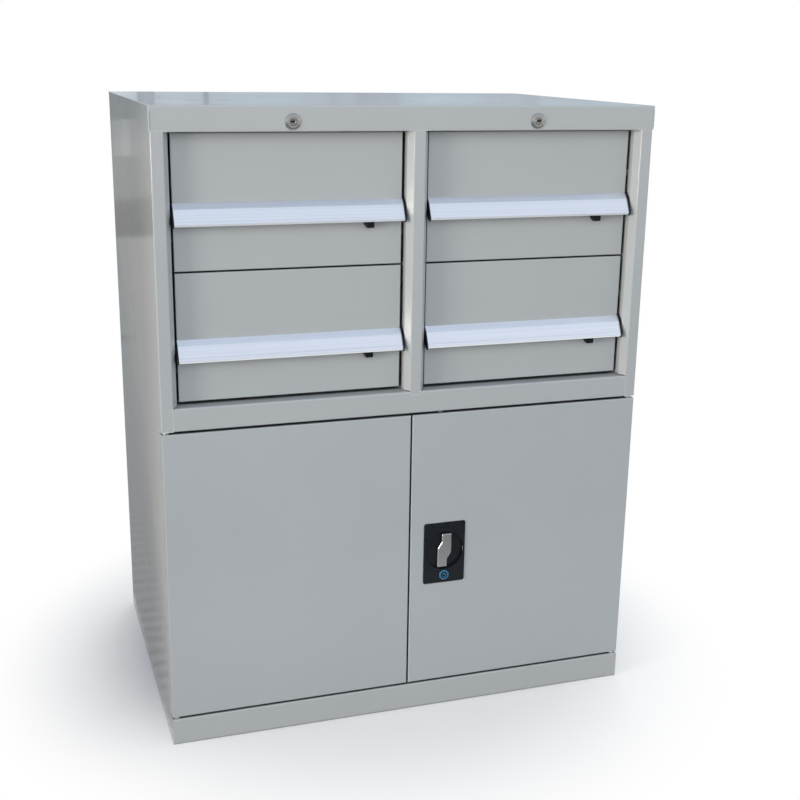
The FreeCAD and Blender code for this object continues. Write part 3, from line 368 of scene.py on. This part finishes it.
def noise(tree, vector, size, detail=2.0, roughness=0.5):
    """Noise whose lumps are about that many metres across. The size is a number or a socket."""
    if isinstance(size, (int, float)):
        return noise_at(tree, vector, Detail=detail, Roughness=roughness, Scale=1 / size)
    factor = noise_at(tree, vector, Detail=detail, Roughness=roughness)
    tree.links.new(maths(tree, "DIVIDE", 1.0, size), factor.node.inputs["Scale"])
    return factor


def tinted(tree, colour, factor, strength):
    """The colour, lighter and darker by up to half the strength as the factor goes over 0 to 1."""
    shade = maths(tree, "MULTIPLY_ADD", maths(tree, "SUBTRACT", factor, 0.5), strength, 1.0)
    return scaled(tree, colour, shade)


def painted_highlight_mask(tree, radius):
    """1 along outer edges and folds, where the colour is lightened as a painted highlight."""
    rounded = add(tree, "ShaderNodeBevel", Radius=radius)
    rounded.samples = 4
    flat = add(tree, "ShaderNodeNewGeometry")
    likeness = vector_maths(tree, "DOT_PRODUCT")
    join(tree, rounded.outputs[0], likeness.inputs[0], flat.outputs["Normal"], likeness.inputs[1])
    mask = add(tree, "ShaderNodeMapRange", From_Min=0.995, From_Max=0.90, To_Min=0.0, To_Max=1.0)
    tree.links.new(likeness.outputs["Value"], mask.inputs["Value"])
    return mask.outputs[0]


def painted_gap_shade_mask(tree, reach):
    """1 deep in a narrow gap between two sheets, where painted shade darkens the colour."""
    closed = add(tree, "ShaderNodeAmbientOcclusion", Distance=reach)
    closed.samples = 6
    mask = add(tree, "ShaderNodeMapRange", From_Min=0.52, From_Max=0.26, To_Min=0.0, To_Max=1.0)
    tree.links.new(closed.outputs["AO"], mask.inputs["Value"])
    return mask.outputs[0]


finish_outputs = [("Colour", "NodeSocketColor"), ("Roughness", "NodeSocketFloat"),
                  ("Height", "NodeSocketFloat")]


def enamel_group():
    """Sprayed enamel: orange peel, slight waves of the sheet, a painted highlight on edges,
    painted shade in narrow gaps and a little dust low down."""
    group, given, made = new_group(
        "sprayed enamel",
        [("Colour", "NodeSocketColor", (0.5, 0.5, 0.5, 1)), ("Peel size", "NodeSocketFloat", 0.002),
         ("Peel depth", "NodeSocketFloat", 0.00001), ("Wave size", "NodeSocketFloat", 0.12),
         ("Wave depth", "NodeSocketFloat", 0.0004), ("Gloss roughness", "NodeSocketFloat", 0.3),
         ("Dust", "NodeSocketFloat", 0.1), ("Edge light", "NodeSocketFloat", 0.3),
         ("Painted gap shade", "NodeSocketFloat", 0.93)],
        finish_outputs)
    place = add(group, "ShaderNodeTexCoord").outputs["Object"]
    mottle = noise(group, place, 0.16, 3.0)
    speck = noise(group, place, 0.0016, 2.0)
    colour = tinted(group, given["Colour"], mottle, 0.05)
    colour = tinted(group, colour, speck, 0.035)
    split = add(group, "ShaderNodeSeparateXYZ")
    group.links.new(place, split.inputs[0])
    low = add(group, "ShaderNodeMapRange", From_Min=0.0, From_Max=0.35, To_Min=1.0, To_Max=0.0)
    group.links.new(split.outputs["Z"], low.inputs["Value"])
    patches = noise(group, place, 0.05, 6.0, 0.65)
    dust = maths(group, "MULTIPLY",
                 maths(group, "MULTIPLY", low.outputs[0], patches), given["Dust"])
    dusty = mixed(group)
    dusty.inputs["B"].default_value = (0.42, 0.40, 0.36, 1)
    # A painted highlight lightens the colour along edges and folds.
    edge = maths(group, "MULTIPLY", painted_highlight_mask(group, 0.0018), given["Edge light"])
    # Painted shade darkens the colour deep in narrow gaps.
    gap_shade = maths(group, "MULTIPLY", painted_gap_shade_mask(group, 0.012), given["Painted gap shade"])
    shade = maths(group, "MULTIPLY",
                  maths(group, "ADD", edge, 1.0), maths(group, "SUBTRACT", 1.0, gap_shade))
    colour = scaled(group, colour, shade)
    peel = noise(group, place, given["Peel size"], 1.0)
    wave = noise(group, place, given["Wave size"], 2.0)
    height = maths(group, "ADD", maths(group, "MULTIPLY", peel, given["Peel depth"]),
                   maths(group, "MULTIPLY", wave, given["Wave depth"]))
    rough = maths(group, "MULTIPLY_ADD",
                  maths(group, "SUBTRACT", mottle, 0.5), 0.10, given["Gloss roughness"])
    rough = maths(group, "ADD", rough, maths(group, "MULTIPLY", dust, 0.6))
    join(group, dust, dusty.inputs["Factor"], colour, dusty.inputs["A"],
         dusty.outputs["Result"], made["Colour"], rough, made["Roughness"], height, made["Height"])
    return group


def finish_material(name, group, values, metallic=0.0, **shader_values):
    """A material with one Principled BSDF, fed by a finish group and a Bump node."""
    material = bpy.data.materials.new(name)
    material.use_nodes = True
    tree = material.node_tree
    shader = tree.nodes["Principled BSDF"]
    shader.inputs["Metallic"].default_value = metallic
    for socket, value in shader_values.items():
        shader.inputs[socket.replace("_", " ")].default_value = value
    finish = tree.nodes.new("ShaderNodeGroup")
    finish.node_tree = group
    for socket, value in values.items():
        finish.inputs[socket].default_value = value
    bump = add(tree, "ShaderNodeBump", Strength=1.0, Distance=1.0)
    join(tree, finish.outputs["Colour"], shader.inputs["Base Color"],
         finish.outputs["Roughness"], shader.inputs["Roughness"],
         finish.outputs["Height"], bump.inputs["Height"], bump.outputs[0], shader.inputs["Normal"])
    return material


def dress(material, *names):
    """Gives CAD nodes a material."""
    for name in names:
        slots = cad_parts[name].material_slots
        for slot in slots:
            slot.material = material
        if not slots:
            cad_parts[name].data.materials.append(material)


enamel = enamel_group()
body_grey = (0.402, 0.43, 0.448, 1)
body_enamel = finish_material(
    "body enamel", enamel,
    {"Colour": body_grey, "Peel size": 0.0024, "Peel depth": 0.000006, "Wave size": 0.10,
     "Wave depth": 0.00022, "Gloss roughness": 0.22, "Dust": 0.12},
    Specular_IOR_Level=0.5)
# The side panels and the top carry a stronger painted highlight along their edges and folds.
side_enamel = finish_material(
    "side panel enamel", enamel,
    {"Colour": body_grey, "Peel size": 0.005, "Peel depth": 0.0000015, "Wave size": 0.13,
     "Wave depth": 0.0004, "Gloss roughness": 0.085, "Dust": 0.15, "Edge light": 0.9},
    Specular_IOR_Level=0.5)
top_enamel = finish_material(
    "top enamel", enamel,
    {"Colour": body_grey, "Peel size": 0.0026, "Peel depth": 0.000003, "Wave size": 0.12,
     "Wave depth": 0.0002, "Gloss roughness": 0.13, "Dust": 0.0, "Edge light": 1.5},
    Specular_IOR_Level=0.5)
dress(top_enamel, "top_panel")
dress(body_enamel, "back_panel", "front_rail", "centre_partition", "drawer_deck",
      "cupboard_floor", "plinth", "shelf")
dress(side_enamel, "side_panel_left", "side_panel_right")


def new_piece(name, mesh, material, body, smooth=40):
    """Puts a finished mesh into the scene, smooth but for edges sharper than that many degrees,
    and lets it ride on its body."""
    mesh.materials.append(material)
    for face in mesh.polygons:
        face.use_smooth = True
    mesh.set_sharp_from_angle(angle=math.radians(smooth))
    piece = bpy.data.objects.new(name, mesh)
    bpy.context.scene.collection.objects.link(piece)
    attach(piece, body)


def mesh_from(build, name):
    """A mesh from a bmesh, with its faces turned outwards."""
    bmesh.ops.recalc_face_normals(build, faces=build.faces)
    mesh = bpy.data.meshes.new(name)
    build.to_mesh(mesh)
    build.free()
    return mesh


def weld_bead(build, foot, head, radius, chance):
    """A row of overlapping uneven lumps from one point to another."""
    spacing = radius * 1.3
    stretch = 1.2
    count = max(2, round((head - foot).length / spacing))
    for k in range(count + 1):
        lump = bmesh.ops.create_icosphere(build, subdivisions=2, radius=radius)["verts"]
        middle = foot.lerp(head, k / count)
        size = chance.uniform(0.75, 1.1)
        for vertex in lump:
            wobble = 1 + chance.uniform(-0.06, 0.06)
            point = Vector((vertex.co.x, vertex.co.y, vertex.co.z * stretch))
            vertex.co = middle + point * size * wobble


def flange_welds():
    """The ends of the top's flange are welded to the side panels and only roughly ground. The
    enamel over the lumps is rough, and darker as painted shade of their pits."""
    # Darker colour here is painted shade over the weld lumps.
    shaded_weld_enamel = finish_material(
        "enamel over the welds with painted shade", enamel,
        {"Colour": (0.30, 0.30, 0.29, 1), "Peel size": 0.0011, "Peel depth": 0.00008,
         "Wave size": 0.01, "Wave depth": 0.0001, "Gloss roughness": 0.30, "Dust": 0.0},
        Specular_IOR_Level=0.5)
    low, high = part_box("top_panel")
    chance = random.Random(4)
    build = bmesh.new()
    flange_height = 0.0425
    weld_radius = 0.0013
    inset = weld_radius * 1.3
    y = low.y + 0.0002
    bottom = high.z - flange_height
    for x in (low.x + inset, high.x - inset):
        for start, end in ((0.006, 0.017), (0.022, 0.031)):
            foot = Vector((x, y, bottom + start))
            weld_bead(build, foot, Vector((x, y, bottom + end)), weld_radius, chance)
    new_piece("flange_welds", mesh_from(build, "flange_welds"), shaded_weld_enamel, "cabinet")


flange_welds()


# Drawers
# Each is an open box of 1 mm sheet behind a shallow folded front, sprayed like the carcass. It
# runs on a pair of telescopic slides.
drawer_enamel = finish_material(
    "drawer enamel", enamel,
    {"Colour": (0.392, 0.419, 0.434, 1), "Peel size": 0.0022, "Peel depth": 0.000006,
     "Wave size": 0.09, "Wave depth": 0.00018, "Gloss roughness": 0.32, "Dust": 0.0},
    Specular_IOR_Level=0.5)
places = [row + "_" + column for column in ("left", "right") for row in ("lower", "upper")]
for place in places:
    dress(drawer_enamel, "drawer_box_" + place, "drawer_front_" + place)


# Slides, uprights, lock bars, pivots and rivets
# Cold-rolled steel strip with bright zinc plating, which keeps the long marks of the rolls. The
# slides are riveted to the drawer boxes, and blind rivets hold the back panel.
def rolled_group():
    """Rolled or drawn metal: fine long marks, cloudy plating and a varying gloss. The place is
    multiplied by Across, so the marks run along the axis whose share is small, and Along is the
    width of a mark."""
    group, given, made = new_group(
        "long marks",
        [("Colour", "NodeSocketColor", (0.5, 0.5, 0.5, 1)),
         ("Across", "NodeSocketVector", (1, 0, 1)), ("Along", "NodeSocketFloat", 1.0),
         ("Mark depth", "NodeSocketFloat", 0.000003), ("Mark tint", "NodeSocketFloat", 0.12),
         ("Cloud", "NodeSocketFloat", 0.08), ("Gloss roughness", "NodeSocketFloat", 0.35)],
        finish_outputs)
    place = add(group, "ShaderNodeTexCoord").outputs["Object"]
    stretch = vector_maths(group, "MULTIPLY")
    join(group, place, stretch.inputs[0], given["Across"], stretch.inputs[1])
    marks = noise(group, stretch.outputs[0], given["Along"], 3.0, 0.6)
    cloud = noise(group, place, 0.03, 4.0, 0.55)
    colour = tinted(group, given["Colour"], cloud, maths(group, "MULTIPLY", given["Cloud"], 1.2))
    colour = tinted(group, colour, marks, given["Mark tint"])
    height = maths(group, "MULTIPLY", marks, given["Mark depth"])
    change = maths(group, "MULTIPLY", maths(group, "SUBTRACT", cloud, 0.5), given["Cloud"])
    rough = maths(group, "ADD", maths(group, "ADD", given["Gloss roughness"], change),
                  maths(group, "MULTIPLY", maths(group, "SUBTRACT", marks, 0.5), 0.15))
    join(group, colour, made["Colour"], rough, made["Roughness"], height, made["Height"])
    return group


long_marks = rolled_group()
zinc = finish_material(
    "zinc plating", long_marks,
    {"Colour": (0.60, 0.61, 0.60, 1), "Across": (1, 0.02, 1), "Along": 0.0012,
     "Mark depth": 0.000004, "Cloud": 0.25, "Gloss roughness": 0.34},
    metallic=1.0)
for place in places:
    dress(zinc, "slide_middle_" + place, "slide_inner_" + place)
dress(zinc, "slide_outer_members", "slide_uprights", "lock_bar_left", "lock_bar_right",
      "lock_bar_guides", "hinge_pivots", "shelf_clips", "door_lock_rod_upper",
      "door_lock_rod_lower")


def dome(build, foot, out, radius, height, steps=20):
    """A low round head on a face at foot that looks along the unit vector out."""
    side = out.orthogonal().normalized()
    up = out.cross(side)
    turns = [math.tau * k / steps for k in range(steps)]
    rings = []
    for share, rise in ((1.0, -0.05), (1.0, 0.25), (0.86, 0.68), (0.55, 0.93)):
        rings.append([build.verts.new(foot + out * height * rise + radius * share *
                                      (side * math.cos(turn) + up * math.sin(turn)))
                      for turn in turns])
    for low, high in zip(rings, rings[1:]):
        for k in range(steps):
            build.faces.new((low[k], low[(k + 1) % steps], high[(k + 1) % steps], high[k]))
    build.faces.new(rings[-1])
    build.faces.new(rings[0][::-1])


def back_rivets():
    """Blind rivets hold the back sheet to the side panels and the centre partition."""
    low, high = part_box("back_panel")
    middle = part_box("centre_partition")
    head_radius = 0.0032
    head_height = 0.0009
    side_margin = 0.020
    end_margin = 0.05
    partition_start = 0.66
    columns = [(low.x + side_margin, end_margin, 9), (high.x - side_margin, end_margin, 9),
               ((middle[0].x + middle[1].x) / 2, partition_start, 5)]
    build = bmesh.new()
    for x, start, count in columns:
        for k in range(count):
            z = start + (high.z - end_margin - start) * k / (count - 1)
            dome(build, Vector((x, high.y, z)), Vector((0, 1, 0)), head_radius, head_height)
    new_piece("back_rivets", mesh_from(build, "back_rivets"), zinc, "cabinet",
              smooth=50)


back_rivets()


def slide_rivets(place):
    """The inner slide members are riveted to the box, and the heads show inside it."""
    low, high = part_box("drawer_box_" + place)
    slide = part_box("slide_inner_" + place)
    level = (slide[0].z + slide[1].z) / 2
    sheet = 0.001
    head_radius = 0.0034
    head_height = 0.0013
    build = bmesh.new()
    for x, out in ((low.x + sheet, 1), (high.x - sheet, -1)):
        for share in (0.08, 0.37, 0.66, 0.95):
            y = slide[0].y + (slide[1].y - slide[0].y) * share
            dome(build, Vector((x, y, level)), Vector((out, 0, 0)), head_radius, head_height)
    name = "slide_rivets_" + place
    new_piece(name, mesh_from(build, name), zinc, "drawer_" + place, smooth=50)


for place in places:
    slide_rivets(place)


# Handles
# One aluminium extrusion across each drawer, satin anodised, with the fine lines of the die along
# its length. Black plastic caps are pressed over both ends.
anodised = finish_material(
    "anodised aluminium", long_marks,
    {"Colour": (0.87, 0.90, 0.945, 1), "Across": (0.004, 1, 1), "Along": 0.0024,
     "Mark depth": 0.000004, "Mark tint": 0.30, "Cloud": 0.04, "Gloss roughness": 0.36},
    metallic=1.0)
for place in places:
    dress(anodised, "handle_" + place)


def moulded_group():
    """Moulded plastic: fine grain of the mould, and flow marks that change its gloss."""
    group, given, made = new_group(
        "moulded plastic",
        [("Colour", "NodeSocketColor", (0.02, 0.02, 0.02, 1)),
         ("Grain size", "NodeSocketFloat", 0.0004), ("Grain depth", "NodeSocketFloat", 0.00001),
         ("Gloss roughness", "NodeSocketFloat", 0.4)],
        finish_outputs)
    place = add(group, "ShaderNodeTexCoord").outputs["Object"]
    grain = noise(group, place, given["Grain size"], 2.0)
    flow = noise(group, place, 0.012, 3.0)
    colour = tinted(group, tinted(group, given["Colour"], grain, 0.35), flow, 0.3)
    rough = maths(group, "MULTIPLY_ADD",
                  maths(group, "SUBTRACT", flow, 0.5), 0.16, given["Gloss roughness"])
    height = maths(group, "MULTIPLY", grain, given["Grain depth"])
    join(group, colour, made["Colour"], rough, made["Roughness"], height, made["Height"])
    return group


moulded = moulded_group()
black_plastic = finish_material(
    "black plastic", moulded,
    {"Colour": (0.007, 0.009, 0.013, 1), "Grain size": 0.0005, "Grain depth": 0.000006,
     "Gloss roughness": 0.30},
    Specular_IOR_Level=0.18)
for place in places:
    dress(black_plastic, "handle_caps_" + place, "latch_" + place)


# Thumb latches
# Moulded in the same black plastic, with three ribs across the paddle for the thumb. Each slides
# under its handle, and its tip enters a slot in the post beside the drawer.
def rib(build, low, high, crown):
    """A raised bar from low to high. Its front is smaller by the crown on all four sides."""
    inset = Vector((crown, 0, crown))
    points = [build.verts.new((x, y, z))
              for y, foot, head in ((high.y, low, high), (low.y, low + inset, high - inset))
              for x, z in ((foot.x, foot.z), (head.x, foot.z), (head.x, head.z), (foot.x, head.z))]
    build.faces.new(points[4:])
    build.faces.new(points[3::-1])
    for k in range(4):
        build.faces.new((points[k], points[(k + 1) % 4], points[(k + 1) % 4 + 4], points[k + 4]))


def latch_ribs(place):
    """Three ribs on a paddle, whose right edge stands a fixed way in from the drawer front's."""
    paddle_width = 0.0156
    paddle_height = 0.014
    paddle_inset = 0.053
    first_rib = 0.0050
    pitch = 0.0035
    width = 0.0016
    margin = 0.0025
    proud, sunk = 0.0006, 0.0002
    low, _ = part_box("latch_" + place)
    _, front_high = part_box("drawer_front_" + place)
    left = front_high.x - paddle_inset - paddle_width
    build = bmesh.new()
    for k in range(3):
        x = left + first_rib + k * pitch
        rib(build, Vector((x, low.y - proud, low.z + margin)),
            Vector((x + width, low.y + sunk, low.z + paddle_height - margin)), crown=0.0004)
    name = "latch_ribs_" + place
    new_piece(name, mesh_from(build, name), black_plastic, "latch_" + place)


for place in places:
    latch_ribs(place)


# Drawer locks
# Die-cast rosette and plug, polished and chromed. A flat key enters the level slot, drawn as a
# black plate of painted shade, and a fine ridge runs round the plug's face.
def plated_group():
    """Polished plating: a faint ripple of the casting, hairlines and painted edge highlights."""
    group, given, made = new_group(
        "polished plating",
        [("Colour", "NodeSocketColor", (0.8, 0.8, 0.8, 1)), ("Ripple", "NodeSocketFloat", 0.00002),
         ("Gloss roughness", "NodeSocketFloat", 0.1), ("Edge light", "NodeSocketFloat", 0.0)],
        finish_outputs)
    place = add(group, "ShaderNodeTexCoord").outputs["Object"]
    lump = noise(group, place, 0.006, 2.0)
    hair = noise(group, place, 0.0006, 4.0, 0.7)
    edge = maths(group, "MULTIPLY_ADD", painted_highlight_mask(group, 0.0011), given["Edge light"], 1.0)
    colour = scaled(group, tinted(group, given["Colour"], lump, 0.08), edge)
    rough = maths(group, "MULTIPLY_ADD", hair, 0.08, given["Gloss roughness"])
    height = maths(group, "MULTIPLY", lump, given["Ripple"])
    join(group, colour, made["Colour"], rough, made["Roughness"], height, made["Height"])
    return group


plated = plated_group()
chrome = finish_material(
    "chrome", plated,
    {"Colour": (0.40, 0.40, 0.395, 1), "Ripple": 0.00003, "Gloss roughness": 0.10},
    metallic=1.0)
# Near-black plates in key slots and grooves, as painted shade of the holes.
hole_shade_black = finish_material(
    "keyhole shade", moulded,
    {"Colour": (0.004, 0.004, 0.004, 1), "Grain size": 0.0005, "Grain depth": 0.0,
     "Gloss roughness": 0.6},
    Specular_IOR_Level=0.1)
plug_steel = finish_material(
    "turned plug", plated,
    {"Colour": (0.22, 0.22, 0.215, 1), "Ripple": 0.00003, "Gloss roughness": 0.16},
    metallic=1.0)
dress(chrome, "drawer_lock_housings")
dress(plug_steel, "drawer_lock_plug_left", "drawer_lock_plug_right")


def turned_ring(build, centre, section, steps):
    """A ring turned about a line along Y. The section's points are (y, radius), round its wall."""
    rows = []
    for k in range(steps):
        turn = math.tau * k / steps
        rows.append([build.verts.new((centre[0] + r * math.cos(turn), y,
                                      centre[1] + r * math.sin(turn)))
                     for y, r in section])
    for k in range(steps):
        row, after = rows[k], rows[(k + 1) % steps]
        for i in range(len(section)):
            j = (i + 1) % len(section)
            build.faces.new((row[i], row[j], after[j], after[i]))


def ridge_section(y, inner, outer, rise):
    """A low ridge between two radii, which stands proud of a face at y by the rise."""
    middle = (inner + outer) / 2
    slope = (outer - inner) * 0.2
    return [(y, inner), (y - rise * 0.8, inner + slope), (y - rise, middle),
            (y - rise * 0.8, outer - slope), (y, outer), (y + 0.0002, middle)]


def slot_rim(half_width, half_height, fullness, steps):
    """Points (x, z) round a key slot with round ends. More fullness makes the ends squarer."""
    turns = [math.tau * k / steps for k in range(steps)]
    return [(max(-half_width, min(half_width, fullness * half_width * math.cos(turn))),
             max(-half_height, min(half_height, 2 * fullness * half_height * math.sin(turn))))
            for turn in turns]


def slot_fill(build, centre, rim, front_y, back_y):
    """A thin closed plate with that rim."""
    front, back = [[build.verts.new((centre[0] + a, y, centre[1] + b)) for a, b in rim]
                   for y in (front_y, back_y)]
    build.faces.new(front)
    build.faces.new(back[::-1])
    for k in range(len(rim)):
        j = (k + 1) % len(rim)
        build.faces.new((front[k], front[j], back[j], back[k]))


def keyhole(column):
    """A black plate, painted shade, in a plug's keyway, and the ridge on its face."""
    half_width, half_height = 0.0041, 0.0011
    proud, sunk = 0.00012, 0.0004
    body = "drawer_lock_plug_" + column
    low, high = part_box(body)
    centre = ((low.x + high.x) / 2, (low.z + high.z) / 2)
    build = bmesh.new()
    rim = slot_rim(half_width, half_height, fullness=1.3, steps=32)
    slot_fill(build, centre, rim, low.y - proud, low.y + sunk)
    name = "keyhole_" + column
    new_piece(name, mesh_from(build, name), hole_shade_black, body)
    build = bmesh.new()
    ridge = ridge_section(low.y, inner=0.0048, outer=0.0062, rise=0.00035)
    turned_ring(build, centre, ridge, steps=40)
    name = "plug_ridge_" + column
    new_piece(name, mesh_from(build, name), chrome, body)


for column in ("left", "right"):
    keyhole(column)


# Doors
# Each is a pan of 1.2 mm sheet, 19 mm deep, with a hat section welded down its inside. It swings
# on pins near its outer corners.
door_enamel = finish_material(
    "door enamel", enamel,
    {"Colour": (0.387, 0.421, 0.444, 1), "Peel size": 0.0024, "Peel depth": 0.000006,
     "Wave size": 0.16, "Wave depth": 0.0004, "Gloss roughness": 0.30, "Dust": 0.12},
    Specular_IOR_Level=0.5)
dress(door_enamel, "door_left", "door_right", "door_stiffener_left", "door_stiffener_right")


# Lever lock
# A moulded black plate in the right door, with a silver die-cast lever and a blue key cylinder.
# Four screws clamp the case behind it through the door's sheet.
dress(black_plastic, "door_lock_plate", "door_lock_case", "door_lock_rod_guides", "door_catches")
# The lever's edges are lightened as a painted highlight.
silver_lever = finish_material(
    "silver lever", plated,
    {"Colour": (0.32, 0.325, 0.33, 1), "Ripple": 0.00004, "Gloss roughness": 0.26,
     "Edge light": 1.7},
    metallic=1.0)
blue_plastic = finish_material(
    "blue plastic", moulded,
    {"Colour": (0.02, 0.13, 0.26, 1), "Grain size": 0.0008, "Grain depth": 0.000004,
     "Gloss roughness": 0.22})
dress(silver_lever, "door_lever")
dress(blue_plastic, "door_key_cylinder")


def key_plug(build, centre, y, rim, mouth):
    """The plug's wall and face, and the slot's wall sunk into it, as one closed ring."""
    loops = [[build.verts.new((centre[0] + a * scale, y + depth, centre[1] + b * scale))
              for a, b in outline]
             for outline, scale, depth in
             ((rim, 1.0, -0.0001), (rim, 1.0, -0.0007), (rim, 0.93, -0.0010),
              (mouth, 1.0, -0.0009), (mouth, 1.0, -0.0002))]
    for outer, inner in zip(loops, loops[1:] + loops[:1]):
        for k in range(len(rim)):
            j = (k + 1) % len(rim)
            build.faces.new((outer[k], outer[j], inner[j], inner[k]))


def key_cylinder_face():
    """Blue collar and plug, a steel shutter in the slot, and painted shade in groove and slot."""
    low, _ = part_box("door_key_cylinder")
    plate_low, plate_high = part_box("door_lock_plate")
    height_on_plate = 0.0154
    centre = ((plate_low.x + plate_high.x) / 2, plate_low.z + height_on_plate)
    y = low.y
    plug_radius = 0.0043
    slot_half_width, slot_half_height = 0.0033, 0.0021
    slot_proud, slot_sunk = 0.00022, 0.0002
    shutter_left, shutter_right, shutter_half_height = 0.0012, 0.0030, 0.0010
    shutter_front, shutter_back = 0.0008, 0.0002
    steps = 40
    rings = (
        ("key_collar", blue_plastic, "key_blue",
         [(0.0001, 0.0094), (-0.0006, 0.0094), (-0.0011, 0.0088), (-0.0013, 0.0078),
          (-0.0011, 0.0069), (-0.0006, 0.0063), (0.0001, 0.0062)]),
        # The groove is a flat black ring, painted shade between collar and plug.
        ("key_groove", hole_shade_black, "black_plastic",
         [(0.0001, 0.0064), (-0.0001, 0.0064), (-0.0001, 0.0038), (0.0001, 0.0038)]),
    )
    for name, material, slot, section in rings:
        build = bmesh.new()
        turned_ring(build, centre, [(y + depth, radius) for depth, radius in section], steps=48)
        new_piece(name, mesh_from(build, name), material, "key_cylinder")
    turns = [math.tau * k / steps for k in range(steps)]
    rim = [(plug_radius * math.cos(turn), plug_radius * math.sin(turn)) for turn in turns]
    mouth = slot_rim(slot_half_width, slot_half_height, fullness=1.2, steps=steps)
    build = bmesh.new()
    key_plug(build, centre, y, rim, mouth)
    new_piece("key_plug", mesh_from(build, "key_plug"), blue_plastic, "key_cylinder")
    # A black plate over the slot's mouth, painted shade of the slot.
    build = bmesh.new()
    slot_fill(build, centre, mouth, y - slot_proud, y + slot_sunk)
    new_piece("key_slot", mesh_from(build, "key_slot"), hole_shade_black, "key_cylinder")
    build = bmesh.new()
    rib(build,
        Vector((centre[0] + shutter_left, y - shutter_front, centre[1] - shutter_half_height)),
        Vector((centre[0] + shutter_right, y - shutter_back, centre[1] + shutter_half_height)),
        crown=0.0003)
    new_piece("key_shutter", mesh_from(build, "key_shutter"), zinc, "key_cylinder")


key_cylinder_face()


def case_screws():
    """Four screws clamp the lock case to the plate through the door."""
    low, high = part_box("door_lock_case")
    inset = 0.007
    head_radius = 0.0030
    head_height = 0.0014
    build = bmesh.new()
    for x in (low.x + inset, high.x - inset):
        for z in (low.z + inset, high.z - inset):
            dome(build, Vector((x, high.y, z)), Vector((0, 1, 0)), head_radius, head_height)
    new_piece("case_screws", mesh_from(build, "case_screws"), zinc, "door_right",
              smooth=50)


case_screws()
